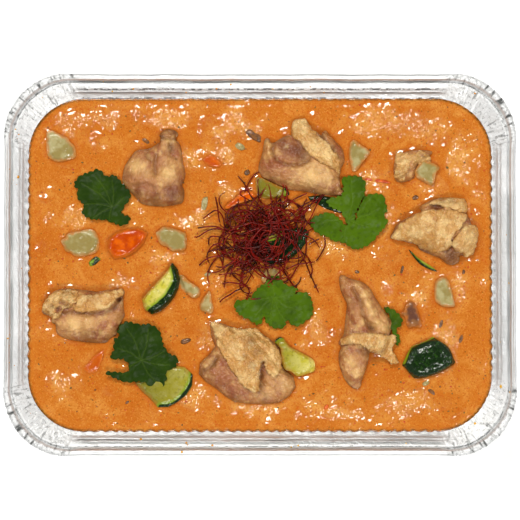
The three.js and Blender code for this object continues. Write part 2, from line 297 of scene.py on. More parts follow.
def alongLine(places, line):
    # distance of each place from an open line
    away = np.full(len(places), farAway)
    for start, end in zip(line[:-1], line[1:]):
        run = end - start
        share = np.clip((places - start) @ run / max(run @ run, 1e-12), 0, 1)
        away = np.minimum(away, np.hypot(*(places - start - share[:, None] * run).T))
    return away


def rise(value, low, high):
    # 0 at low, 1 at high, smooth on the way
    share = np.clip((value - low) / (high - low), 0, 1)
    return share * share * (3 - 2 * share)


def turned(places, turn):
    x, y = places[:, 0], places[:, 1]
    cosine, sine = math.cos(turn), math.sin(turn)
    return np.stack([x * cosine + y * sine, y * cosine - x * sine], 1)


noiseCells = 64  # the noise repeats after this many of its blots
noiseStart = 640  # keeps the cells' numbers above 0


def blots(places, size, seed, across=1.0, turn=0.0):
    # soft noise from about -1 to 1; across over 1 stretches it along the turned direction
    slants = np.random.default_rng(seed).uniform(0, 2 * math.pi, (noiseCells, noiseCells))
    spots = turned(places, turn) / size * (1, across) + noiseStart
    cell = np.floor(spots).astype(int)
    part = spots - cell
    ease = part ** 3 * (part * (part * 6 - 15) + 10)

    def pull(i, j):
        slant = slants[(cell[:, 0] + i) % noiseCells, (cell[:, 1] + j) % noiseCells]
        return np.cos(slant) * (part[:, 0] - i) + np.sin(slant) * (part[:, 1] - j)

    near = pull(0, 0) + ease[:, 0] * (pull(1, 0) - pull(0, 0))
    far = pull(0, 1) + ease[:, 0] * (pull(1, 1) - pull(0, 1))
    return (near + ease[:, 1] * (far - near)) * 1.5


def pebbles(places, size, seed):
    # rounded bumps side by side, 0 between them and 1 on top
    jitter = np.random.default_rng(seed).random((noiseCells, noiseCells, 2))
    spots = places / size + noiseStart
    cell = np.floor(spots).astype(int)
    best = np.full(len(places), 9.0)
    for i in (-1, 0, 1):
        for j in (-1, 0, 1):
            other = cell + (i, j)
            away = spots - other - jitter[other[:, 0] % noiseCells, other[:, 1] % noiseCells]
            best = np.minimum(best, np.hypot(*away.T))
    return 1 - np.clip(best, 0, 1)


def flakes(places, size, seed, across=1.0, turn=0.0):
    # sharp crests with soft hollows between them, 0 to 1
    return 1 - np.abs(blots(places, size, seed, across, turn))


def outlineOf(node):
    # the outline of a CAD solid seen from above, in mm
    shape = bmesh.new()
    shape.from_mesh(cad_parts[node].data)
    bmesh.ops.remove_doubles(shape, verts=shape.verts, dist=1e-6)
    shape.normal_update()
    upward = {face for face in shape.faces if face.normal.z > 0.05}
    follows = {}
    for edge in shape.edges:
        own = [face for face in edge.link_faces if face in upward]
        if len(own) == 1:
            for loop in own[0].loops:
                if loop.edge == edge:
                    follows[loop.vert.index] = loop.link_loop_next.vert.index
    shape.verts.ensure_lookup_table()
    rings = []
    while follows:
        first, place = follows.popitem()
        ring = [first]
        while place in follows and place != first:
            ring.append(place)
            place = follows.pop(place)
        rings.append(np.array([shape.verts[i].co[:2] for i in ring]) / mm)
    shape.free()
    return max(rings, key=lambda ring: abs(ringArea(ring)))


def ringArea(ring):
    # above 0 when the ring runs anticlockwise
    x, y = ring.T
    return float(x @ np.roll(y, -1) - y @ np.roll(x, -1)) / 2


def middleOf(node):
    # the middle of a CAD solid in plan, in mm
    low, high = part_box(node)
    return np.array([(low.x + high.x) / 2, (low.y + high.y) / 2]) / mm


def lookDown(tree, places, start):
    # the height of a surface at each place, seen from a height of start; nan where there is none
    hits = [tree.ray_cast(Vector((x, y, start)), Vector((0, 0, -1)))[0] for x, y in places]
    return np.array([hit.z if hit else np.nan for hit in hits])


def topHeights(node, places):
    # height of a CAD solid's upper side at each place, in mm
    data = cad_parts[node].data
    data.calc_loop_triangles()
    faces = [triangle.vertices[:] for triangle in data.loop_triangles]
    tree = BVHTree.FromPolygons([vertex.co for vertex in data.vertices], faces)
    return lookDown(tree, places * mm, 1) / mm


def soften(piece, chosen, repeat, heightsOnly=True):
    # evens out the chosen points
    piece.data.vertices.foreach_set("select", chosen)
    edit(piece)
    bpy.ops.mesh.vertices_smooth(factor=0.5, repeat=repeat, xaxis=not heightsOnly, yaxis=not heightsOnly)
    done()


# mm between the grid lines of each kind of piece
cells = {"chicken": 0.34, "potato": 0.34, "carrot": 0.34, "aubergine": 0.34, "zucchini": 0.3,
         "coriander": 0.33}


def gridOver(name, outline, cell):
    # a flat grid trimmed to an outline, its edge drawn onto it; the mesh is in mm until scaled
    startClean()
    low, high = outline.min(0) - cell, outline.max(0) + cell
    size = high - low
    columns, rows = [int(length / cell) for length in size]
    bpy.ops.mesh.primitive_grid_add(x_subdivisions=columns, y_subdivisions=rows, size=1)
    piece = bpy.context.object
    piece.name = name
    piece.scale = (size[0], size[1], 1)
    piece.location = (*((low + high) / 2), 0)
    applyPlace(piece)
    inside = measure(faceMiddles(piece)[:, :2], outline)[0]
    selectFaces(piece, ~inside)
    edit(piece, "FACE")
    bpy.ops.mesh.delete(type="FACE")
    done()
    places = points(piece)
    rim = rimOf(piece)
    places[rim, :2] = measure(places[rim, :2], outline)[2]
    setPoints(piece, places)
    soften(piece, ~rim, 3, False)
    return piece


def drape(piece, node, repeat):
    # lifts a flat grid to the CAD solid's upper side and softens it
    places = points(piece)
    heights = topHeights(node, places[:, :2])
    missed = np.isnan(heights)
    heights[missed] = level + 0.3 if missed.all() else np.nanmin(heights)
    places[:, 2] = heights
    setPoints(piece, places)
    soften(piece, ~rimOf(piece), repeat)


def sink(piece, depth):
    # carries the open edge down into the sauce, draws it in and closes it
    shrink = 0.86
    middle = points(piece).mean(0)
    edit(piece, "EDGE")
    bpy.ops.mesh.select_all(action="DESELECT")
    bpy.ops.mesh.select_non_manifold()
    for share in (0.4, 0.6):
        bpy.ops.mesh.extrude_edges_move(TRANSFORM_OT_translate={"value": (0, 0, -depth * share)})
    bpy.ops.transform.resize(value=(shrink, shrink, 1), center_override=tuple(middle))
    bpy.ops.mesh.edge_face_add()
    faceOutwards()


def place(piece, material, slotName, *nodes):
    # from mm to metres, smooth, and with its finish
    setPoints(piece, points(piece) * mm)
    pick(piece)
    bpy.ops.object.shade_smooth()
    piece.data.materials.clear()
    piece.data.materials.append(material)
    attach(piece, bodyName)
    if nodes:
        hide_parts(*nodes)
    return piece


# foil tray

tray = {
    "cornerSteps": 112,
    "sideSteps": 150,
    "cornerRadius": 24,
    "rim": 9.9,  # from the wall to the outside of the rolled edge
    "bead": 1.3,  # radius of the rolled edge
    "shelf": (31, 4.2, 6.4),  # its height at the wall, how much it rises outwards, and over how far
    "bulge": 0.5,
    "fluteCount": 14,  # in the wall of each corner
    "fluteDepth": 0.4,
    "pleatCount": 46,  # round the rolled edge of each corner
    "pleatDepth": 0.34,
    "floorHeight": 0.6,
    "inset": 12,  # how far in from the floor's edge its face is divided
    "wavePitch": 4.4,  # of the soft flutes along the straight walls
    "waveDepth": 0.3,
    "thickness": 0.45,
    "color": tone(236, 237, 238),
    # painted shade: the grey the tray's sides are painted with, as they get less light
    "sideShade": tone(176, 180, 180),
    # painted shade and dark reflections: the grey painted into the rim's grooves and steps
    "dark": tone(66, 68, 66),
    "brown": tone(128, 92, 56),
}
halfMouth = np.array(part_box("foil_tray")[1][:2]) / mm - tray["rim"] - tray["bulge"]


def trayProfile():
    # [outwards from the wall line, height], from the middle of the floor round to the curled edge
    rim, bead = tray["rim"], tray["bead"]
    rows = [(-14.5, tray["floorHeight"]), (-12.8, 1.0), (-11.9, 2.2), (-11.4, 4)]
    rows += [(-11.4 * (1 - t), 4 + (level - 4) * t) for t in np.linspace(0, 1, 8)[1:]]
    # a shallow shelf, two small steps, the flange, a groove, and the curled edge
    rows += [(0.35, 31.12), (0.9, 31.4), (1.5, 31.75), (2.1, 32.15), (2.4, 32.9), (2.65, 33.5), (3.0, 33.8)]
    rows += [(3.45, 33.9), (3.7, 34.4), (3.95, 34.9), (4.5, 35.15), (5.1, 35.2), (5.8, 35.3), (6.4, 35.2)]
    rows += [(6.7, 34.8), (6.95, 34.3), (7.2, 34.3)]
    rows += [(rim - bead + bead * math.cos(a), 36.6 + bead * math.sin(a))
             for a in np.radians(np.arange(190, -131, -32))]
    return rows


def foilTray():
    # the mouth line first, as a plane with rounded corners, then row after row up and down from it
    rows = trayProfile()
    start = next(i for i, row in enumerate(rows) if row[0] == 0)
    startClean()
    bpy.ops.mesh.primitive_plane_add(size=2)
    piece = bpy.context.object
    piece.name = "tray_foil"
    piece.scale = (*halfMouth, 1)
    piece.location = (0, 0, rows[start][1])
    applyPlace(piece)
    edit(piece)
    bpy.ops.mesh.select_all(action="SELECT")
    bpy.ops.mesh.bevel(offset=tray["cornerRadius"], segments=tray["cornerSteps"], affect="VERTICES")
    done()
    # only the four straight sides are longer than 20 mm
    ends = [[piece.data.vertices[i].co for i in side.vertices] for side in piece.data.edges]
    selectLong = [(first - second).length > 20 for first, second in ends]
    for part in (piece.data.vertices, piece.data.polygons):
        part.foreach_set("select", np.zeros(len(part), bool))
    piece.data.edges.foreach_set("select", selectLong)
    edit(piece, "EDGE")
    bpy.ops.mesh.subdivide(number_cuts=tray["sideSteps"])
    bpy.ops.mesh.select_all(action="SELECT")
    bpy.ops.mesh.delete(type="ONLY_FACE")
    for order in (range(start + 1, len(rows)), range(start - 1, -1, -1)):
        bpy.ops.mesh.select_all(action="DESELECT")
        done()
        onMouth = np.abs(points(piece)[:, 2] - rows[start][1]) < 1e-3
        piece.data.vertices.foreach_set("select", onMouth)
        edit(piece, "VERT")
        bpy.ops.mesh.select_mode(type="EDGE")
        before = rows[start]
        for i in order:
            out, height = rows[i]
            grow = (halfMouth + out) / (halfMouth + before[0])
            bpy.ops.mesh.extrude_edges_move(TRANSFORM_OT_translate={"value": (0, 0, height - before[1])})
            bpy.ops.transform.resize(value=(grow[0], grow[1], 1), center_override=(0, 0, height))
            before = rows[i]
    bpy.ops.mesh.edge_face_add()  # the floor
    bpy.ops.mesh.inset(thickness=tray["inset"])
    bpy.ops.mesh.poke()
    faceOutwards()
    crimp(piece)
    modify(piece, "SOLIDIFY", thickness=tray["thickness"], offset=-1 if facesUp(piece) else 1)
    return place(piece, foilFinish(), "foil", "foil_tray")


def facesUp(piece):
    # whether the face at the middle of the floor points up
    middles = faceMiddles(piece)
    lowest = int(np.argmin(middles[:, 2] + np.hypot(*middles[:, :2].T) * 0.01))
    return piece.data.polygons[lowest].normal.z > 0


def crimp(piece):
    # flutes in the corners' walls, pleats round their rims, and soft dents all over
    places = points(piece)
    flat = places[:, :2]
    # the rows were scaled outwards, so how far out each point lies is found in a few steps
    out = np.zeros(len(flat))
    for _ in range(6):
        out += outFrom(flat / (1 + out[:, None] / halfMouth))
    height = places[:, 2]
    side = np.sign(flat)
    corner = halfMouth - tray["cornerRadius"]
    local = np.abs(flat) - corner
    angle = np.arctan2(np.clip(local[:, 1], 1e-6, None), np.clip(local[:, 0], 1e-6, None)) / (math.pi / 2)
    inCorner = (local[:, 0] > -1.5) & (local[:, 1] > -1.5)
    ends = 0.16  # share of a corner over which its crumples fade at each end
    fade = np.where(inCorner, rise(angle, 0.0, ends) * rise(1 - angle, 0.0, ends), 0)
    direction = np.stack([np.cos(angle * math.pi / 2), np.sin(angle * math.pi / 2)], 1) * side
    wander = blots(flat, 9, 3) * 0.9
    which = side[:, 0] * 1.7 + side[:, 1] * 3.1
    flute = np.sin(angle * tray["fluteCount"] * 2 * math.pi + wander + which)
    onWall = rise(height, 3, 9) * (1 - 0.75 * rise(height, level - 5, level - 1)) * (out < 3)
    quarter = 38  # length of a corner along the wall
    arc = np.stack([angle * quarter + which * 60, out * 0.22], 1)  # along the corner and across it
    pleatWave = angle * tray["pleatCount"] * 2 * math.pi + blots(arc, 4, 3) * 2.5 + which
    pleat = np.sin(pleatWave) * 0.25 + blots(arc, 1.1, 6) * 0.9 + blots(arc, 0.6, 7) * 0.6
    onEdge = rise(out, 6.8, 7.6)
    ripple = blots(arc, 0.75, 5) * 1.2 + blots(arc, 2.6, 8) * 0.8
    onFlange = rise(out, 0.3, 1.5) * rise(-out, -7.2, -6.6)
    radial = fade * (flute * tray["fluteDepth"] * onWall + pleat * tray["pleatDepth"] * 0.6 * onEdge)
    radial += fade * (tray["bulge"] - 0.25) * onEdge
    lift = fade * (pleat * tray["pleatDepth"] * onEdge + ripple * 0.16 * onFlange)
    # along the straight sides the foil is only softly uneven
    dents = blots(flat, 16, 11) * 0.28 + blots(flat, 6, 12) * 0.10
    lift += dents * rise(out, 0.5, 3) * 0.7
    radial += wallWave(flat) * rise(height, 4, 12) * rise(-out, -1.4, -0.2) * (1 - fade)
    radial += dents * rise(height, 2, 8) * 0.6
    flat += direction * (radial * inCorner)[:, None]
    onLong = local[:, 1] > local[:, 0]
    for axis, chosen in ((1, onLong & ~inCorner), (0, ~onLong & ~inCorner)):
        flat[chosen, axis] += (side[:, axis] * radial)[chosen]
    # the shelf and the flange nearly run into one slope, and do so round the corners
    base, more, reach = tray["shelf"]
    slope = base + more * np.clip(out / reach, 0, 1)
    between = (out > 0.05) & (out < reach + 0.2)
    lift += np.where(between, (slope - height) * np.maximum(fade, 0.8), 0)
    places[:, :2] = flat
    places[:, 2] += lift
    setPoints(piece, places)
    setMark(piece, "out", out)
    setMark(piece, "corner", fade)
    setMark(piece, "top", (1 - fade) * (onLong & (side[:, 1] > 0)))
    setMark(piece, "bottom", (1 - fade) * (onLong & (side[:, 1] < 0)))
    setMark(piece, "flank", (1 - fade) * ~onLong)
    # where dark patches are painted along the crumpled corners: painted shade of the crumples
    setMark(piece, "crumpleShade", blots(arc, 0.75, 15) * 0.8 + blots(arc, 1.8, 16) * 0.5)


def wallWave(flat):
    # how far the straight walls lean out at each place, in soft flutes
    local = np.abs(flat) - halfMouth
    along = np.where(local[:, 1] > local[:, 0], flat[:, 0], flat[:, 1])
    # they are nearly lost on the side at the back
    share = np.where((local[:, 1] > local[:, 0]) & (flat[:, 1] > 0), 0.3, 1)
    wave = np.sin(along / tray["wavePitch"] * 2 * math.pi + blots(flat, 15, 13) * 2)
    return wave * tray["waveDepth"] * share


def outFrom(flat):
    # distance outwards from the mouth line, negative inside it
    radius = tray["cornerRadius"]
    local = np.abs(flat) - (halfMouth - radius)
    beyond = np.clip(local, 0, None)
    return np.hypot(*beyond.T) + np.clip(local.max(1), None, 0) - radius


def foilFinish():
    made = Finish("foil")
    out, corner, crumpleShade = [made.mark(name) for name in ("out", "corner", "crumpleShade")]
    top, bottom, flank = [made.mark(name) for name in ("top", "bottom", "flank")]

    def line(middle, wide):
        # a line along the rim, this far out from the wall
        return 1 - made.between(made.maths("ABSOLUTE", out - middle), wide * 0.35, wide)

    broken = made.between(made.grain(2.4, 2, 0.6), 0.45, 0.6)
    slow = made.between(made.grain(22, 2), 0.35, 0.65)
    # dark lines painted along the rim: painted shade in its grooves and steps and painted dark reflections,
    # broken into dashes
    groove = line(6.85, 0.4)
    atBack = line(2.5, 0.35) * 0.6 + line(3.9, 0.5) * broken * 0.8
    dark = top * (atBack + groove * (slow * 0.5 + 0.5) + line(9.6, 0.4) * 0.5)
    atFront = line(3.6, 0.3) * slow * 0.9 + line(4.9, 0.8) * 0.55
    dark = dark + bottom * (atFront + line(6.1, 0.4) * broken * 0.6)
    dark = dark + flank * (line(1.3, 0.6) * broken * 0.3 + groove * slow * 0.3)
    edge = groove * broken * 0.5 + made.between(out, 7.3, 7.8) * made.between(crumpleShade, -0.1, 0.6) * 0.6
    # painted shade on the crumpled corners: dark patches along the pleats and a dark curled edge
    onRim = corner * made.between(out, 0.1, 0.6)
    dark = dark + onRim * (made.between(crumpleShade, 0.25, 0.7) * 0.5 + edge)
    # painted shade: dark speckles on the corners' rims, and at the back a painted shadow line where the
    # foil meets the sauce
    speckle = made.between(made.grain(1.3, 3, 0.7, distortion=0.5), 0.55, 0.63)
    dark = dark + onRim * speckle * 0.45 + top * line(0.5, 0.4) * broken * 0.7
    brown = bottom * line(6.9, 0.35) * 0.8 + flank * line(8.6, 0.35) * 0.4
    # the sides painted greyer as painted shade, then the painted dark lines and the brown
    colour = made.over(tray["color"], (tray["sideShade"], flank * (slow * 0.3 + 0.05)),
                       (tray["dark"], made.maths("MINIMUM", dark, 0.95)), (tray["brown"], brown))
    normal = made.bump(made.between(made.grain(1.6, 4, 0.65), 0.2, 0.8), 0.10)
    normal = made.bump(made.grain(0.9, 3, 0.7) * corner, 0.16, normal)
    normal = made.bump(made.grain(0.5, 2, 0.6), 0.03, normal)
    roughness = made.between(made.grain(6, 3), 0.2, 0.8) * 0.14 + 0.36
    return made.shade(colour, roughness, normal, Metallic=1 - corner * 0.5 - flank * 0.25)


# sauce

sauce = {
    "cell": 0.6,
    "reach": 0.25,  # how far its edge goes into the foil, to leave no gap
    "sides": [(2.5, 2.2), (level - 6.5, 12.8)],  # each step down, and how far inside the edge it ends
    "foot": (2.7, (0.96, 0.95)),  # the last step down, and how much it draws in
    "swell": [(24, 0.34, 1), (9, 0.22, 2)],  # size, height, seed
    "ripples": [(4.6, 0.46, 3), (2.6, 0.32, 4), (1.6, 0.20, 5)],
    "wrinkle": 0.34,  # how high its creamy wrinkles stand where it is liveliest
    "lumpCount": 110,
    # where its surface is lively: x, y, and how far across and along
    "lively": [(-80, 60, 9, 5), (-66, 62, 8, 4), (-40, 62, 10, 4), (-10, 58, 12, 6), (52, 60, 16, 6),
               (70, 58, 10, 6), (-16, 47, 7, 5), (8, 22, 5, 4), (-78, 19, 6, 5), (-28, 18, 7, 4),
               (72, 33, 6, 4), (32, -62, 14, 4), (62, -58, 13, 5), (-30, -55, 10, 5), (25, -28, 4, 8),
               (67, -15, 6, 5), (-40, 3, 6, 4), (78, -30, 5, 6), (0, -60, 12, 3), (-60, 30, 6, 4),
               (52, 20, 5, 5), (85, 45, 5, 10), (-85, -50, 5, 6), (-12, 30, 5, 4), (46, 36, 6, 5),
               (30, 8, 6, 6), (-58, -8, 6, 4), (-20, -30, 6, 5), (-30, 44, 7, 5), (84, -10, 5, 7)],
    "meniscus": 0.4,
    "bubble": (54.0, -10.3, 2.0),  # x, y, radius
    "base": tone(206, 118, 36),
    "deep": tone(188, 90, 16),
    "pale": tone(238, 172, 82),
    "edge": tone(104, 66, 20),
    # the dark edge tone is partly oil and partly painted shade, at the foil and round the chicken
    "speck": tone(190, 62, 8),
    "pepper": tone(104, 70, 24),
}


def currySauce(pieces, covers):
    startClean()
    half = halfMouth + sauce["reach"]
    columns, rows = [int(2 * size / sauce["cell"]) for size in half]
    bpy.ops.mesh.primitive_grid_add(x_subdivisions=columns, y_subdivisions=rows, size=2)
    piece = bpy.context.object
    piece.name = "sauce_body"
    piece.scale = (*half, 1)
    applyPlace(piece)
    places = points(piece)
    flat = places[:, :2]
    # the square corners are drawn in to the tray's round ones
    radius = tray["cornerRadius"]
    local = (np.abs(flat) - (half - radius)) / radius
    corner = (local > 0).all(1)
    a, b = local[corner].T
    drawn = np.stack([a * np.sqrt(1 - b * b / 2), b * np.sqrt(1 - a * a / 2)], 1) * radius + half - radius
    flat[corner] = drawn * np.sign(flat[corner])
    touch, under = np.zeros(len(flat)), np.zeros(len(flat))
    for outline in pieces + covers:
        low, high = outline.min(0) - 5, outline.max(0) + 5
        near = ((flat > low) & (flat < high)).all(1)
        inside, away, _ = measure(flat[near], outline)
        under[near] = np.maximum(under[near], np.where(inside, rise(away, 0.2, 1.8), 0))
        if any(outline is item for item in pieces):
            touch[near] = np.maximum(touch[near], np.where(inside, 1, 1 - rise(away, 0.0, 2.4)))
    calmLevel = level - 0.1
    height = np.full(len(flat), calmLevel)
    for size, amount, seed in sauce["swell"]:
        height += blots(flat, size, seed) * amount
    rough = 0.16 + 0.5 * rise(blots(flat, 12, 8), 0.0, 0.7)
    drift = flat + np.stack([blots(flat, 7, 9), blots(flat, 7, 14)], 1) * 4
    for x, y, wide, deep in sauce["lively"]:
        away = ((drift[:, 0] - x) / wide) ** 2 + ((drift[:, 1] - y) / deep) ** 2
        rough = np.maximum(rough, 1.6 * np.exp(-away))
    for size, amount, seed in sauce["ripples"]:
        height += blots(flat, size, seed) * amount * rough
    height += np.exp(-(blots(drift, 6.5, 27) / 0.3) ** 2) * sauce["wrinkle"] * rough
    lumps = np.zeros(len(flat))
    chance = random.Random(41)
    for _ in range(sauce["lumpCount"]):
        spot = np.array([chance.uniform(-1, 1), chance.uniform(-1, 1)]) * (halfMouth - 5)
        size = chance.uniform(1.0, 3.2)
        tall = chance.uniform(0.3, 0.9)
        away = np.hypot(*(turned(flat - spot, chance.uniform(0, 3)) * (1, chance.uniform(1, 2))).T) / size
        lumps = np.maximum(lumps, np.exp(-away ** 2 * 1.4) * tall)
    edgeAway = -outFrom(flat)
    calm = (1 - touch) * rise(edgeAway, 0.5, 3)
    height = calmLevel + (height - calmLevel) * (0.35 + 0.65 * calm) + lumps * calm
    height += touch * sauce["meniscus"] * (1 - under) * (0.8 + blots(flat, 3, 10) * 0.6) - under * 1.3
    # it creeps up the foil, with a faint line a little way in
    height += (1 - rise(edgeAway, 0.0, 1.6)) * 0.3
    height += np.exp(-((edgeAway - 3.6) / 0.5) ** 2) * 0.14
    x, y, wide = sauce["bubble"]
    ring = np.hypot(flat[:, 0] - x, flat[:, 1] - y)
    height += np.exp(-((ring - wide) / 0.45) ** 2) * 0.5 - np.exp(-(ring / wide) ** 4) * 0.25
    lumps = np.maximum(lumps, np.exp(-(ring / wide) ** 4) * 1.6)
    # along the straight sides its edge follows the flutes in the wall
    local = np.abs(flat) - halfMouth
    straight = local.min(1) < -tray["cornerRadius"]
    push = wallWave(flat) * (1 - rise(edgeAway, 0.0, 2.5)) * straight
    onLong = local[:, 1] > local[:, 0]
    for axis, chosen in ((1, onLong), (0, ~onLong)):
        flat[chosen, axis] += (np.sign(flat[:, axis]) * push)[chosen]
    places[:, :2] = flat
    places[:, 2] = height
    setPoints(piece, places)
    # the sides follow the tray down to its floor
    edit(piece, "EDGE")
    bpy.ops.mesh.select_all(action="DESELECT")
    bpy.ops.mesh.select_non_manifold()
    width = half
    for down, inset in sauce["sides"]:
        bpy.ops.mesh.extrude_edges_move(TRANSFORM_OT_translate={"value": (0, 0, -down)})
        grow = (half - inset) / width
        bpy.ops.transform.resize(value=(grow[0], grow[1], 1), center_override=(0, 0, 0))
        width = half - inset
    down, grow = sauce["foot"]
    bpy.ops.mesh.extrude_edges_move(TRANSFORM_OT_translate={"value": (0, 0, -down)})
    bpy.ops.transform.resize(value=(*grow, 1), center_override=(0, 0, 0))
    bpy.ops.mesh.edge_face_add()
    faceOutwards()
    mark(piece, len(flat), lump=np.clip(lumps, 0, 1), touch=touch, rough=rough,
         edge=1 - rise(edgeAway, 0.0, 1.1))
    return place(piece, sauceFinish(), "sauce", "curry_sauce")


def sauceFinish():
    made = Finish("sauce")
    lump, touch, edge, rough = [made.mark(name) for name in ("lump", "touch", "edge", "rough")]
    cream = made.between(made.grain(9, 5, 0.65, distortion=0.8), 0.45, 0.7)
    fine = made.between(made.grain(0.8, 2, 0.7), 0.53, 0.66)
    light = made.between(made.grain(0.7, 1, 0.6, made.swung(1.1)), 0.56, 0.68)
    reddish = made.between(made.grain(0.95, 2, 0.6, made.swung(2.3)), 0.6, 0.7)
    red = 1 - made.between(made.dots(1.9), 0.1, 0.2)
    pepper = 1 - made.between(made.dots(2.9, made.swung(0.7)), 0.07, 0.15)
    broken = made.between(made.grain(1.3, 2), 0.4, 0.55) * 0.5 + 0.5
    colour = made.over(
        sauce["base"],
        # lighter where the surface is lively: partly creamier sauce, partly a painted highlight tint round
        # the glints
        (sauce["pale"], cream * 0.4 + made.between(rough, 0.2, 1.4) * 0.5),
        (sauce["deep"], made.between(made.grain(17, 3), 0.5, 0.72) * 0.45),
        (sauce["deep"], lump * 0.45),
        (sauce["deep"], fine * 0.65),
        (sauce["pale"], light * 0.32),
        (sauce["speck"], reddish * 0.5),
        (sauce["speck"], red * 0.5),
        (sauce["pepper"], pepper * 0.55),
        # painted shade: darker round the pieces, where they touch the sauce
        (sauce["deep"], touch * 0.4),
        # a dark line where the sauce meets the foil: partly oil, partly painted shade
        (sauce["edge"], edge * broken),
    )
    relief = made.bump(made.grain(2.4, 1, 0.5, distortion=0.6) * rough, 0.6)
    relief = made.bump(made.grain(1.1, 1, 0.5) * rough, 0.12, relief)
    roughness = made.between(made.grain(8, 3), 0.3, 0.7) * 0.04 + 0.08
    return made.shade(colour, roughness, relief, Specular_IOR_Level=0.8, Subsurface_Weight=0.06,
                      Subsurface_Radius=(0.002, 0.0008, 0.0004), Subsurface_Scale=0.5)


# chicken

chickenTone = {
    "meat": tone(194, 136, 80),
    "pink": tone(160, 90, 58),
    "brown": tone(92, 48, 16),
    "pale": tone(252, 208, 134),
    "skin": tone(214, 158, 84),
    "skinPale": tone(246, 208, 140),
    "skinDeep": tone(160, 98, 44),
}
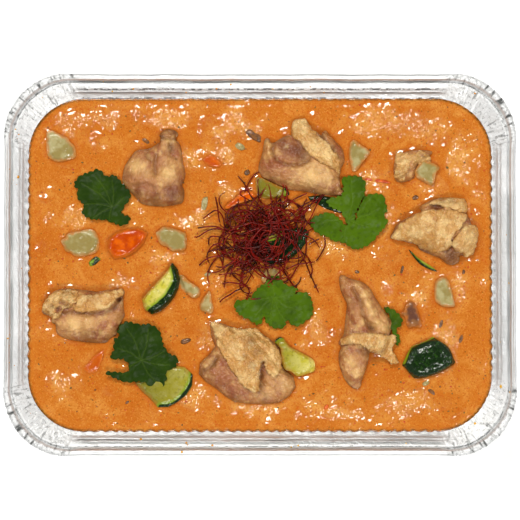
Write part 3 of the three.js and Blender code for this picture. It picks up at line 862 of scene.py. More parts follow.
# all in mm from the middle of the solid. edge is its outline. flaps are folds of skin and fat on
# top: their edge, how high they lie, how thick they are, crumb (small flakes), folds (size, height,
# turn) and curl at the edge. grooves are [line, width, depth], a ridge where the depth is below
# nothing. browned, pale and pink are spots (x, y, radius, strength); the browned spots are real
# browning with painted shade along the lower edges and undersides, and the pale spots are partly pale
# fat and partly painted highlights. fibres is the way the meat runs
chickenPieces = {
    "chicken_1": {
        "edge": [(0.5, 9.5), (-2, 8), (-5, 7.6), (-8, 6.8), (-11, 3), (-13, -1), (-13.5, -6), (-11, -9.5),
                 (-8, -12.5), (-5, -15.5), (2, -16.5), (9, -15.8), (12, -14.5), (12.6, -10), (11.6, -7.5),
                 (12.6, -5), (13, -2), (12, 2), (11.5, 7), (10.5, 10), (8.8, 11.6), (10, 14), (8.5, 15.6),
                 (6, 16.2), (4, 15.6), (2, 13.6), (2.8, 11.5)],
        "flaps": [],
        "grooves": [
            ([(0.8, 5), (0.4, 1), (0.4, -3)], 1.0, 1.1),
            ([(0.5, -5), (1.2, -9), (1.8, -13)], 0.8, -0.5),
            ([(-2, 8), (-3, 5), (-1, 2.5)], 1.2, 0.8),
            ([(2.4, 12), (5, 12.2), (8.4, 11.6)], 0.9, 1.4),
            ([(6.8, 9.5), (7.2, 6.5)], 1.4, 1.2),
            ([(3.2, 6), (9.5, 3.6)], 0.7, 0.6),
            ([(-10, -8), (-3, -7.5), (0.8, -9)], 0.8, 0.5),
        ],
        "brownedAndShade": [(3, 13.2, 1.6, 1), (8.6, 14.6, 1.8, 0.9), (5.5, 16, 2.2, 0.8), (7.2, 8, 1.6, 0.55),
                    (8, -12, 4.5, 0.75), (0, -15, 4.5, 0.7), (-7, -11, 3.5, 0.5), (12, -11, 2.5, 0.7),
                    (11.5, -6.5, 1.5, 0.5), (-12, -4, 2, 0.4), (1, 10, 1.2, 0.5), (9, 3, 0.6, 0.8)],
        "pale": [(6, -3, 3.2, 0.9), (7, -0.5, 2.5, 0.5), (-8, 0.5, 3.2, 0.7), (-3, -3, 2.5, 0.3),
                 (6, 10.8, 1.5, 0.9), (3.6, 8, 1.3, 0.5), (2.4, 6, 0.7, 0.9)],
        "pink": [(-4, -8, 5, 0.6), (2.5, 2, 3, 0.6), (-6, 5, 3, 0.5), (9, -7, 4, 0.6), (-10, -4, 3, 0.5)],
        "fibres": 80, "swell": 0.7,
    },
    "chicken_2": {
        "edge": [(-4, 9.8), (-4, 14), (-2.5, 16), (1, 16.3), (3, 14.5), (4, 12), (6.5, 10.5), (8, 9),
                 (10, 11.5), (12, 9), (14.5, 6.5), (17, 4), (18, 1), (18, -2), (16.5, -5), (16, -9),
                 (16.5, -13), (18, -14.5), (16.5, -16), (12, -16), (7, -15.6), (2, -14.5), (-4, -13.8),
                 (-8, -12.5), (-12, -10.5), (-16, -8.5), (-18, -6), (-18, -3), (-17, 0), (-16.2, 4),
                 (-15.5, 7.5), (-13.8, 8), (-12.6, 6), (-10, 7.2), (-7, 9)],
        "flaps": [
            {"edge": [(-4, 9), (-4, 14), (-2.5, 16), (1, 16.3), (3, 14.5), (4, 12), (6, 10.3), (7.5, 8),
                      (9, 7.5), (11.5, 5.5), (13.5, 2.5), (15.5, 0), (16.2, -3.5), (15.5, -7),
                      (13.5, -5), (10, -4), (7, -1.8), (3.5, 0.4), (1, 3), (-1, 6)],
             "lift": 1.2, "thick": 1.5, "crumb": 0.3, "folds": (4.5, 0.8, -40), "curl": 0.3},
        ],
        "grooves": [
            ([(-11.5, 6), (-12, 2), (-10, -1.5), (-6, -3.6), (0, -3), (3, -1.5)], 0.9, 1.4),
            ([(-14.6, 7.5), (-14.2, 3), (-13, -2)], 1.3, -1.4),
            ([(-7, 4), (-3, 2.5), (0, 0)], 3.2, 1.0),
            ([(8, 8.5), (12, 4), (15, 0)], 1.0, 0.7),
        ],
        "brownedAndShade": [(-1, 3, 2.5, 0.5), (1, -0.5, 2, 0.5), (-9, 8, 2.5, 0.6), (8.5, 8.5, 1.8, 0.6),
                    (13.2, 3.4, 1.2, 0.6), (15.6, -0.4, 1.0, 0.6), (16, -9, 1.2, 0.5), (4, -15, 5, 0.4),
                    (14, -15.5, 3, 0.4), (-12, -9.5, 3, 0.35)],
        "pale": [(5, -8, 5.5, 0.9), (10, -9, 4, 0.7), (-14.5, 6, 1.6, 0.9), (-13.5, 1, 1.5, 0.5),
                 (-6.2, 4.5, 0.9, 1), (-1, 14, 3, 0.7), (5, 4, 3.2, 0.9), (10, 0, 2.5, 0.7),
                 (-10.5, 1.8, 1.2, 0.5)],
        "pink": [(-4, 2, 5, 1), (-8, 5, 3, 0.8), (-15, -5, 4, 0.7), (-9, -7, 4, 0.4)],
        "fibres": -20, "swell": 0.6,
    },
    "chicken_3": {
        "flaps": [
            {"edge": [(-7.5, 5), (-5, 6), (-1, 5), (3, 6), (7, 4), (7.5, 1), (4, 0.5), (1, 1.5),
                      (-2, 0), (-3, -4), (-5, -6.3), (-8, -4.5), (-7.3, -1)],
             "lift": 0.7, "thick": 1.0, "crumb": 0.7, "folds": (3, 0.9, 20), "curl": 0.5},
        ],
        "grooves": [],
        "brownedAndShade": [(-4, -4, 2, 0.3), (4, 4, 2, 0.3)],
        "pale": [(-5, 2, 3, 0.5), (2, 3, 3, 0.4)],
        "pink": [],
        "fibres": 30, "swell": 0.4,
    },
    "chicken_4": {
        "edge": [(-18.5, -3), (-17.5, -1), (-15.5, 3), (-12, 5), (-8, 7), (-5.5, 8), (-6, 10), (-3, 12),
                 (0, 13.3), (5, 14), (10, 13.6), (12.8, 13.4), (13.6, 11), (13.6, 7), (15, 5), (15.4, 2.5),
                 (17.5, 2.2), (18.4, 0), (18, -4), (17.6, -7), (16, -10), (14, -11), (11, -10.5),
                 (10.5, -13), (8, -14.5), (5.5, -14), (3, -12), (1, -11), (-3, -9.5), (-6, -8),
                 (-7.5, -6), (-11, -5), (-15, -4)],
        "flaps": [
            {"edge": [(-2, 11), (0.5, 13.3), (5.5, 13.8), (12.5, 13.4), (13.7, 11), (13.5, 7.5), (9, 8.2),
                      (7.5, 9.2), (3.5, 9.4), (2, 10.4)],
             "lift": 0.7, "thick": 1.0, "crumb": 0.4, "folds": (4, 0.4, 0), "curl": 0.3},
            {"edge": [(-18, -3), (-15.5, 1.5), (-12, 4.5), (-8, 6.6), (-4, 8.4), (0.5, 8.8), (5, 8.4),
                      (9, 8), (13.3, 7), (13.6, 4.5), (11.5, 2.5), (10.5, 0.5), (7, -3), (7, -6.5),
                      (4, -9), (0, -9.6), (-3, -8.6), (-6, -7.4), (-8.5, -5.4), (-13, -4.4)],
             "lift": 1.0, "thick": 1.2, "crumb": 0.3, "folds": (6, 0.9, 80), "curl": 0.2,
             "grooves": [([(0.4, 5), (0.2, 0), (0.2, -6)], 0.7, 0.7), ([(4, 9), (5, 6), (9, 5)], 0.9, 0.4),
                         ([(-9, 5), (-7, 0), (-8, -4)], 1.2, 0.4)]},
            {"edge": [(6.8, -5.5), (8.5, -3), (10.5, -0.5), (13, 2), (17, 2.2), (18.5, -0.5), (17.8, -6),
                      (16, -10), (13.8, -11), (11.5, -9.8), (8.5, -9)],
             "lift": 1.2, "thick": 1.2, "crumb": 0.35, "folds": (4, 0.5, 40), "curl": 0.3},
        ],
        "grooves": [([(-1, 10), (3, 9.5)], 1.0, 1.4), ([(5, -8), (8, -6)], 1.4, 0.8)],
        "brownedAndShade": [(0.5, 10, 1.4, 1), (3, 13, 2, 0.6), (7, 13.2, 2.5, 0.5), (7, -11, 4, 0.9),
                    (8, -14, 2.5, 0.7), (11, -10.5, 1.2, 0.9), (-6, -7.5, 2, 0.5), (-3, -9, 2.5, 0.5),
                    (6, -8, 2, 0.4), (14.6, 4, 1.2, 0.5)],
        "pale": [(5.6, 10.2, 1.8, 1), (9, 9.5, 1.5, 0.6), (12, 0.8, 2, 0.8), (14.5, -4, 3.2, 0.7),
                 (4, 1, 4, 0.35), (-8, 0, 4, 0.3), (-5, -3, 1, 0.5)],
        "pink": [(5, 13, 3, 0.5), (6, -12, 3, 0.4)],
        "fibres": 20, "swell": 0.6,
    },
    "chicken_5": {
        "edge": [(-17, 4), (-16.5, 6), (-14.5, 8.5), (-12, 10.5), (-8, 11.3), (-3, 11), (1, 10.6),
                 (5, 10), (8, 10.4), (12, 11), (16, 11.2), (17, 9.5), (16.4, 6.5), (16.6, 3), (17, 0),
                 (16, -2), (14.5, -5), (13.5, -8), (11, -9.6), (9, -11.5), (4, -11.6), (-2, -11),
                 (-7, -10), (-10.5, -8.5), (-12, -6.5), (-12, -4), (-13.8, -3), (-13.8, -1), (-15, 0),
                 (-17, 0.5), (-18, 2)],
        "flaps": [
            {"edge": [(-17.5, 2), (-17, 5), (-14.5, 8.2), (-12, 10), (-7, 10.8), (-3, 10.4), (-2.4, 7),
                      (-3.5, 4.5), (-6, 3), (-8.5, 2.2), (-9.5, -0.2), (-12, -1.6), (-14.5, -0.4)],
             "lift": 0.9, "thick": 1.1, "crumb": 1.3, "folds": (2.4, 0.9, 30), "curl": 0.1,
             "grooves": [([(-11.2, 2), (-10, 2.8)], 1.1, 1.8), ([(-10, 4), (-8, 5.6)], 0.9, 0.9)]},
            {"edge": [(-3.4, 2), (-3, 5.5), (-2, 8.4), (3, 8.8), (8, 9.4), (12, 10.4), (15.8, 10.9),
                      (16.8, 9.6), (16, 8), (13.8, 7), (12.4, 4.5), (9, 2.2), (5, 1.7), (1, 1.2)],
             "lift": 1.2, "thick": 1.3, "crumb": 0.15, "folds": (4.5, 0.6, 20), "curl": 0.3},
        ],
        "grooves": [
            ([(-9, 0.8), (-5, 1.2), (-1, 0.9), (4, 0.6), (9, 0.9), (13, 3), (15, 6.3)], 1.0, 1.0),
            ([(14.4, 6.6), (15.4, 6.6)], 0.9, 1.8),
            ([(-13.5, -3.5), (-11.5, -4.5)], 0.8, 0.6),
            ([(-8, -7), (0, -8.5), (8, -8)], 2.0, 0.3),
        ],
        "brownedAndShade": [(14.9, 6.6, 1.2, 1), (-10.4, 2.4, 1.4, 1), (-8.6, 5.2, 1.4, 0.7),
                    (-15.5, 0.4, 1.6, 0.7), (-6.5, 3.8, 1.5, 0.5), (-13, 4, 1, 0.5),
                    (4.4, -7.6, 0.7, 0.9), (2, -11.2, 4.5, 0.6), (9, -11, 2, 0.7), (3, 9.6, 3, 0.45),
                    (-7, 10.6, 3, 0.4), (13.5, 3.5, 1.6, 0.45), (16, 0, 1.5, 0.3), (14, -6, 2, 0.4)],
        "pale": [(-4, -4, 4, 0.8), (2, -3, 3, 0.5), (-11.5, 7.2, 2, 0.9), (-6.5, 7.6, 1.8, 0.8),
                 (6, 5, 1.6, 0.6), (-13.5, -2, 1.4, 0.6), (11, -4.5, 1, 0.5), (8.5, 6.5, 1, 0.5)],
        "pink": [(4, 7.6, 2.5, 0.4), (-4, 0.5, 2, 0.3)],
        "fibres": 5, "swell": 0.5,
    },
    "chicken_6": {
        "flaps": [
            {"edge": [(-15.5, 16.5), (-14, 13), (-12, 7), (-9, 1), (-5, -5), (-1, -10), (3, -12),
                      (5, -11), (5.3, -6), (5.8, -2), (6.8, 1), (8, -3), (11, -5.5), (13, -4),
                      (14.5, -1), (14.2, 3), (12.5, 7), (10, 9.5), (7, 12), (4, 14.5), (0, 14.6),
                      (-5, 15), (-9, 15.5), (-12.5, 17), (-14.5, 17.4)],
             "lift": 1.5, "thick": 1.2, "crumb": 0.8, "folds": (5, 0.8, -50), "curl": 0.5},
        ],
        "grooves": [
            ([(-18, -3), (-14.5, -0.5), (-12.5, 2.5)], 1.0, 1.2),
            ([(6.5, -1), (5.5, -6), (6, -11)], 1.6, 0.8),
            ([(5, -12), (8, -14)], 1.0, 0.6),
            ([(-16, -6), (-10, -10), (-4, -14)], 1.6, 0.4),
        ],
        "brownedAndShade": [(-19, -4, 2, 0.6), (-14, 0.5, 1.5, 0.6), (1.5, 9, 2.8, 0.55), (4, 5, 2, 0.5),
                    (2, 0, 2, 0.4), (-1, 3, 1.6, 0.4), (6.6, 0.6, 1.0, 0.9), (6, -5, 1.6, 0.5),
                    (5.8, -9, 1.4, 0.5), (-6, -15, 3, 0.3), (7, -15.6, 1.5, 0.5),
                    (-19.5, -8, 1.8, 0.4)],
        "pale": [(-12, 14, 2.5, 0.8), (-6, 6, 3, 0.6), (0, -6, 3, 0.6), (10.5, 3, 2.4, 0.9),
                 (12, -3, 2, 0.7), (15, -8, 4, 0.45), (-16, 0.8, 2, 0.5), (8, -13, 3, 0.35)],
        "pink": [(-10, -6, 6, 0.9), (-5, -11, 5, 0.7), (-14, -3, 3, 0.7)],
        "fibres": -35, "swell": 0.7,
    },
    "chicken_7": {
        "edge": [(-10.5, 24), (-7, 22.5), (-2, 21), (1, 18.5), (3, 15), (5.5, 11), (8, 7.5), (10.5, 4),
                 (10.3, 1), (9, -1), (8, -5), (5, -9), (1, -8.5), (0.5, -11), (-0.5, -15), (-2, -19),
                 (-3, -23), (-5, -24), (-8, -22), (-10.5, -18), (-12, -13), (-12, -9), (-11, -6.5),
                 (-12.2, -4.5), (-10, -1), (-9.5, 3), (-9, 8), (-8.6, 12), (-10.5, 15.5), (-11.6, 19),
                 (-11.8, 23)],
        "flaps": [
            {"edge": [(-11.5, -4), (-9, -1.5), (-4, -0.3), (2, -0.5), (7, -1.2), (11, -1.2),
                      (12.4, -3.5), (11, -5.2), (10.6, -8), (12.2, -10.5), (13, -12.5), (10.8, -13.8),
                      (8.5, -12), (4, -9.5), (0, -7.5), (-3, -5.5), (-7, -5), (-10, -5.6)],
             "lift": 1.9, "thick": 1.6, "crumb": 0.6, "folds": (2.0, 0.5, 75), "curl": 0.5},
        ],
        "grooves": [
            ([(-6, 22), (-2.2, 18), (-0.2, 14), (1.5, 9), (3.4, 5), (6.5, 1.5)], 1.8, -1.2),
            ([(-6, 18), (-3.2, 13), (-2.2, 8), (0, 3)], 0.9, 1.1),
            ([(0.5, 3), (2, 0.8)], 1.2, 1.3),
            ([(-2.4, 6), (-1.6, 3.5), (-0.6, 0.8)], 0.5, -0.7),
            ([(-8, 6), (-5, 2)], 0.8, 0.5),
        ],
        "brownedAndShade": [(1, 2, 1.6, 0.7), (-1, -8.5, 2.2, 0.75), (3.5, -10, 1.6, 0.6), (-9, -6, 1.5, 0.5),
                    (-3.5, -8, 1.5, 0.6), (-6, 13, 2.5, 0.3), (-8.5, -21.5, 2.5, 0.35),
                    (-11, -10, 1.5, 0.4), (12, -6, 1, 0.4)],
        "pale": [(-4, 20, 2, 0.6), (-1, 16, 1.8, 0.8), (0.5, 12, 1.8, 0.9), (2, 8, 1.8, 0.9),
                 (4, 4, 2, 0.8), (7, 1.5, 1.8, 0.6), (-2, 4.5, 1, 0.8), (-7, -13, 1.8, 0.8),
                 (-5, -17, 2, 0.7), (6, -4, 3, 0.5), (-4, -2, 2, 0.3)],
        "pink": [(-8, 18, 3, 0.6), (-6, 10, 3, 0.5), (-9, -3, 2, 0.4)],
        "fibres": -60, "swell": 0.6,
    },
}


def spotted(flat, spots, seed):
    # how strongly some spots show at each place
    found = np.zeros(len(flat))
    ragged = flat + np.stack([blots(flat, 1.8, seed), blots(flat, 1.8, seed + 1)], 1) * 0.8
    for x, y, radius, strength in spots:
        found = np.maximum(found, strength * np.exp(-np.sum((ragged - (x, y)) ** 2, 1) / radius ** 2))
    return found


def chickenSpots(flat, looks, seed):
    return {kind: spotted(flat, looks[kind], seed + 4) for kind in ("brownedAndShade", "pale", "pink")}


def carve(flat, grooves):
    # how deep some lines lie at each place, and how much shade is painted into their creases
    depth, crease = np.zeros(len(flat)), np.zeros(len(flat))
    for line, width, deep in grooves:
        groove = np.exp(-(alongLine(flat, smoothLine(line, 8, False)) / width) ** 2)
        depth += groove * deep
        crease = np.maximum(crease, groove * min(max(deep, 0), 1))
    return depth, crease


def skinFlap(node, looks, tree, middle, seed):
    # a fold of skin that lies on the meat, how many of its points are on top, and where they are
    edge = smoothLine(looks["edge"], 8)
    edge = edge + np.stack([blots(edge, 1.7, seed), blots(edge, 1.7, seed + 9)], 1) * 0.6
    piece = gridOver(node + "_flap", edge + middle, cells["chicken"])
    places = points(piece)
    flat = places[:, :2] - middle
    heights = lookDown(tree, places[:, :2], 99)
    places[:, 2] = np.where(np.isnan(heights), level + 0.5, np.maximum(heights, level + 0.4))
    setPoints(piece, places)
    soften(piece, np.ones(len(flat), bool), 30)
    places[:, 2] = points(piece)[:, 2]
    away = measure(flat, edge)[1]
    size, tall, turn = looks["folds"]
    turn = math.radians(turn)
    lift = looks["lift"] + blots(flat, size, seed + 2, 2.4, turn) * tall * 1.25
    lift += (flakes(flat, 1.9, seed + 3, 1.5, turn) - 0.6) * (0.12 + looks["crumb"] * 0.6)
    lift += (pebbles(flat, 1.2, seed + 4) - 0.5) * (0.05 + looks["crumb"] * 0.6)
    lift += (1 - rise(away, 0.2, 2.2)) * looks["curl"] * (0.6 + blots(flat, 6, seed + 5))
    lift -= (1 - rise(away, 0.0, 0.6)) * looks["thick"] * 0.35
    depth, crease = carve(flat, looks.get("grooves", []))
    places[:, 2] += lift - depth
    setPoints(piece, places)
    count = len(flat)
    modify(piece, "SOLIDIFY", thickness=looks["thick"], offset=-1)
    # painted shade in the flap's creases and along its rim
    rimmed = np.maximum(crease * 2, 1 - rise(away, 0.0, 0.8))
    rimmed = np.concatenate([rimmed, np.ones(len(piece.data.vertices) - count)])
    return piece, count, flat, rimmed


def chickenPiece(node, looks, outline, material):
    piece = gridOver(node + "_meat", outline, cells["chicken"])
    drape(piece, node, 20)
    middle = middleOf(node)
    places = points(piece)
    flat = places[:, :2] - middle
    seed = int(node[-1]) * 20
    away = measure(places[:, :2], outline)[1]
    inner = rise(away, 0.2, 2.0)
    turn = math.radians(looks["fibres"])
    lift = blots(flat, 7, seed) * looks["swell"] * 1.5 + blots(flat, 3.4, seed + 1) * 0.75
    lift += blots(flat, 2.0, seed + 2, 3.5, turn) * 0.42 + (pebbles(flat, 1.2, seed + 3) - 0.5) * 0.3
    depth, crease = carve(flat, looks["grooves"])
    lift -= depth
    places[:, 2] += lift * inner
    setPoints(piece, places)
    tree = treeOf(piece)
    sink(piece, 6)
    mark(piece, len(flat), skin=np.zeros(len(flat)), crease=crease, wetAndShade=1 - rise(away, 0.0, 1.3),
         **chickenSpots(flat, looks, seed))
    parts = [piece]
    for i, look in enumerate(looks["flaps"]):
        flap, count, flat, rimmed = skinFlap(node, look, tree, middle, seed + 8 + i * 3)
        mark(flap, len(rimmed), crease=rimmed * 0.25, wetAndShade=np.zeros(len(rimmed)), skin=np.ones(len(rimmed)))
        mark(flap, count, **chickenSpots(flat, looks, seed))
        parts.append(flap)
    return place(joined(parts), material, "chicken", node)


def chickenFinish():
    made = Finish("chicken")
    skin, brownedAndShade, crease, wetAndShade = [made.mark(name) for name in ("skin", "brownedAndShade", "crease", "wetAndShade")]
    pale, pink = made.mark("pale"), made.mark("pink")
    crumb = made.between(made.dots(0.95), 0.25, 0.65)
    meat = made.over(
        chickenTone["meat"],
        (chickenTone["pink"], made.between(made.grain(5, 4, 0.6), 0.44, 0.66) * 0.85),
        (chickenTone["pale"], made.between(made.grain(3, 3), 0.52, 0.7) * 0.5),
        (chickenTone["pink"], made.between(made.grain(1.1, 4, 0.7), 0.56, 0.72) * 0.6),
        (chickenTone["pink"], pink * 0.85),
    )
    cover = made.over(
        chickenTone["skin"],
        (chickenTone["skinPale"], made.between(made.grain(3.4, 4), 0.42, 0.66) * 0.95),
        (chickenTone["skinDeep"], made.between(made.grain(1.6, 5, 0.75), 0.5, 0.66) * 0.6),
        # painted shade in the gaps between the crumbs
        (chickenTone["skinDeep"], crumb * 0.22),
    )
    lightest = made.mix(chickenTone["pale"], chickenTone["skinPale"], skin)
    colour = made.over(
        meat,
        (cover, skin),
        # pale spots: partly pale fat, partly painted highlights
        (lightest, pale * 0.8),
        # browned spots: real browning, and painted shade along the lower edges and undersides
        (chickenTone["brown"], brownedAndShade * 0.85),
        # painted shade in the creases and along the flaps' rims
        (chickenTone["brown"], crease * 0.5),
        # painted shade round the meat's edge where it sinks into the sauce, with a little sauce on it
        (sauce["edge"], wetAndShade * 0.45),
    )
    relief = made.bump(made.grain(2.6, 3, 0.6), 0.55)
    relief = made.bump(made.grain(0.8, 4, 0.65), 0.26, relief)
    relief = made.bump(crumb * skin, -0.12, relief)
    roughness = made.between(made.grain(3, 3), 0.3, 0.7) * 0.16 + 0.2
    return made.shade(colour, roughness, relief, Specular_IOR_Level=0.5, Subsurface_Weight=0.08,
                      Subsurface_Radius=(0.002, 0.001, 0.0006), Subsurface_Scale=0.4)


# vegetables

# their edges, in mm from the middle of the solid
cutEdges = {
    "potato_1": [(-5.8, 5.8), (-3.8, 6.6), (-2, 6), (0.2, 4.8), (3, 3.6), (4, 2), (5.6, 0.5), (6.4, -1),
                 (6.6, -3.5), (6, -5), (3, -6), (0, -6.6), (-2.5, -6.2), (-4.5, -5), (-5.6, -3),
                 (-5.8, 0)],
    "potato_2": [(-8, 0.8), (-6, 2), (-5, 3.6), (-2, 4.6), (0.5, 5), (3, 5.6), (5.5, 5.4), (7, 4), (8, 1.5),
                 (8.2, -0.5), (7.8, -3), (6, -4.6), (3, -5.6), (0, -6), (-2, -5.8), (-4, -4.4), (-6, -3.6),
                 (-7, -1.5)],
    "potato_3": [(-6.8, 2.8), (-5.5, 4), (-3.4, 5.6), (0, 5), (2.5, 4.2), (4.5, 3.4), (6, 2.4),
                 (6.2, 0), (6.1, -2.5), (5.2, -4.4), (2.5, -4.8), (0, -4.6), (-2, -3), (-4, -2.4),
                 (-5.4, -1), (-6.2, 1)],
    "potato_4": [(-3.6, 6), (-2.4, 6.8), (-1, 6.4), (1, 4.4), (3, 3.4), (4.4, 2), (4.2, 0.6), (2.6, -1.2),
                 (1, -3.2), (0, -5), (-1.6, -6.4), (-3, -6), (-3.8, -3), (-4.4, 0), (-4.4, 2.5), (-4, 4.5)],
    "potato_5": [(-3.6, 5.2), (-2.5, 5.6), (0, 4.2), (2, 3.8), (4.6, 2.4), (4.6, 1.4), (3.4, 0), (2.8, -2),
                 (2.2, -5), (1, -5.6), (-1, -4.6), (-3, -3.4), (-5, -2), (-5.8, 0.4), (-5, 2), (-4.2, 3.6)],
    "potato_6": [(-2.4, 6), (-0.5, 6.6), (1, 6), (2, 4), (3, 1.5), (3.8, -2), (4.4, -5.6), (2, -6.2),
                 (-0.5, -6), (-2.2, -5), (-3.8, -3.6), (-4.2, -1), (-4.2, 2), (-3.8, 4.4)],
    "potato_7": [(-5.4, 4), (-4, 5.4), (-2.6, 4.6), (-0.6, 2.4), (2, 0.8), (4, -0.6), (4.2, -2.6),
                 (3.4, -4.4), (1, -4.6), (-0.6, -3.4), (-2.6, -2.2), (-4, -1), (-5, 1.2)],
    "potato_8": [(1.2, 5), (2, 4), (2.2, 2), (2.6, 0), (3.2, -2), (2.8, -4), (1.6, -4.8), (0, -4.2),
                 (-2, -3.4), (-2.8, -1.8), (-2.2, 0.4), (-1, 2.2), (0.4, 3.8)],
    "carrot_2": [(-7.4, -3.6), (-6, -1.4), (-3, 1), (-1, 2.6), (1, 3.6), (4, 3.6), (5.6, 2), (6.2, 0.6),
                 (4, 0), (1, -0.8), (-2, -2.2), (-5, -3.8)],
    "carrot_4": [(3.4, 4.2), (2.6, 0), (1.6, -3), (0, -5), (-3, -5.4), (-5, -3.6), (-3, -1), (-1, 1.6),
                 (1, 3.2)],
    "aubergine_1": [(-3, 1.4), (-2.2, 4), (-0.4, 6), (1.6, 5), (2.6, 3), (3.4, 0.5), (4.2, -2),
                    (4.4, -5), (3, -5.4), (1, -5), (-1, -5.6), (-2.2, -3.4), (-2.6, -1), (-4.6, 0.6)],
    "zucchini_3": [(-8.6, 6.8), (-7.4, 8.2), (-5.6, 8.6), (-3.4, 6.4), (-2, 4.6), (1, 3), (4, 1.4),
                   (7.6, -0.8), (8.4, -3), (8, -5.5), (5.5, -6.6), (2.5, -7.6), (0.5, -7.6),
                   (-1.6, -5.8), (-4.4, -4.8), (-5.4, -2.5), (-5.8, 1), (-6.2, 4), (-7.6, 5.4)],
    "zucchini_4": [(-11, -2.6), (-9.4, 1), (-8, 3.6), (-6.6, 5.2), (-3, 6.6), (0, 8), (2, 9), (4, 7.6),
                   (7, 6), (9, 4), (10.4, 0.5), (11.2, -1.8), (9, -3.6), (6, -5.4), (3, -6.8),
                   (0, -7.6), (-3, -8.4), (-6, -8.2), (-8, -6.2), (-10, -3.8)],
    "zucchini_5": [(-7.6, 3.6), (-6, 3.6), (-3, 2.4), (0, 0.8), (3, -0.4), (5.6, -1.6), (6.4, -3.2),
                   (5, -4.4), (2, -5), (-2, -5.2), (-5, -5), (-7, -3), (-7.8, 0)],
    "zucchini_8": [(-5.9, 5), (-4.4, 3.7), (-1.8, 1.2), (1, -0.6), (4, -2.5), (6.4, -4.5), (5, -4.4),
                   (2.4, -3.4), (-0.4, -1.9), (-2.6, 0.4), (-4.5, 2.8)],
}
# flesh, its lighter blots, and how far light goes into it
diced = {
    "potato": (tone(156, 138, 80), tone(184, 172, 122), 0.15),
    "carrot": (tone(192, 66, 0), tone(228, 100, 0), 0.1),
    "aubergine": (tone(146, 100, 62), tone(104, 66, 50), 0.05),
}
zucchiniTone = {"flesh": tone(206, 194, 62), "light": tone(224, 212, 112), "olive": tone(112, 106, 22),
                "rind": tone(122, 156, 20), "skin": tone(18, 40, 10), "skinLight": tone(44, 78, 22)}
# in mm from the middle of the solid: the skin's line, its width, how olive the flesh is in the
# middle and how much more for each mm to the right
# the olive is partly the flesh's own colour and partly painted shade, darker towards one side of some
# pieces
zucchiniSkins = {
    "zucchini_1": ([(6.5, 10), (7.5, 3.5), (5.5, -1.5), (2, -6), (-3.5, -10.5)], 2.4, 0.0, -0.03),
    "zucchini_2": ([(12, 5.5), (11.5, 1.5), (8, -4), (3.5, -7.5), (-1.5, -8.5)], 0.8, 0.8, -0.02),
    "zucchini_3": ([(-8.4, 7.4), (-7.2, 8.5), (-5.8, 9)], 0.8, 0.4, -0.06),
    "zucchini_4": ([(-8, 0), (8, 0)], 30, 0, 0),
    "zucchini_5": ([(5.2, -1.2), (6.6, -2.6), (6, -4.4)], 0.9, 1.0, 0.0),
    "zucchini_6": ([(-8, 2), (8, -2)], 8, 0, 0),
    "zucchini_7": ([(-7, -7.5), (0, -6.5), (6, -3.5), (8.5, 2), (9, 8)], 9.5, 0.2, 0),
    "zucchini_8": ([(-5.8, 4.4), (-3, 0.6), (0, -2.0), (3, -3.8), (6.2, -5)], 0.9, 0.0, 0),
}
# the cut edge that shows on zucchini_4
rindLine = [(-10.6, -1.5), (-8.6, 3.6), (-6.8, 5.8), (-2, 7.8), (2.2, 9.6)]
# how much sauce lies on the lowest pieces
sunken = {"carrot_4": 0.75, "carrot_3": 0.3, "potato_8": 0.2, "potato_9": 0.3, "zucchini_5": 0.1}


def vegetable(node, material, kind, outline, skinLine=None):
    roughen = 0.25  # how uneven its top is, in mm
    piece = gridOver(node + "_cut", outline, cells[kind])
    drape(piece, node, 5)
    places = points(piece)
    flat = places[:, :2] - middleOf(node)
    seed = sum(map(ord, node)) % 37 + 300
    away = measure(places[:, :2], outline)[1]
    inner = rise(away, 0.0, 1.2)
    places[:, 2] += (blots(flat, 4, seed) * roughen + blots(flat, 1.6, seed + 2) * roughen * 0.4) * inner
    setPoints(piece, places)
    sink(piece, 4)
    wetAndShade = 1 - rise(away + blots(flat, 2, seed + 3) * 0.7, 0.0, 1.7)
    covered = sunken.get(node, 0) * (0.8 + blots(flat, 5, seed + 4) * 0.5)
    mark(piece, len(flat), wetAndShade=np.maximum(wetAndShade, covered))
    if skinLine:
        line, width, olive, slope = skinLine
        near = alongLine(flat, smoothLine(line, 8, False)) + blots(flat, 3, seed + 5) * 0.25
        skin = 1 - rise(near, width - 0.2, width + 0.2)
        rind = 1 - rise(near, width, width + 1.6)
        if node == "zucchini_4":
            skin = skin * rise(alongLine(flat, smoothLine(rindLine, 8, False)), 0.7, 1.1)
        mark(piece, len(flat), skin=skin, rind=rind, olive=np.clip(olive + slope * flat[:, 0], 0, 1))
    return place(piece, material, kind, node)


def dicedFinish(name):
    made = Finish(name)
    first, second, seeThrough = diced[name]
    wetAndShade = made.mark("wetAndShade")
    colour = made.over(
        first,
        (second, made.between(made.grain(5, 3, 0.5), 0.4, 0.62)),
        (first, made.between(made.grain(0.9, 3), 0.55, 0.7) * 0.3),
        (sauce["base"], wetAndShade * 0.7),
    )
    relief = made.bump(made.grain(1.8, 2, 0.5), 0.3)
    roughness = made.between(made.grain(4, 2), 0.3, 0.7) * 0.1 + 0.14
    return made.shade(colour, roughness, relief, Specular_IOR_Level=0.45, Subsurface_Weight=seeThrough,
                      Subsurface_Radius=(0.003, 0.002, 0.0015), Subsurface_Scale=0.5)


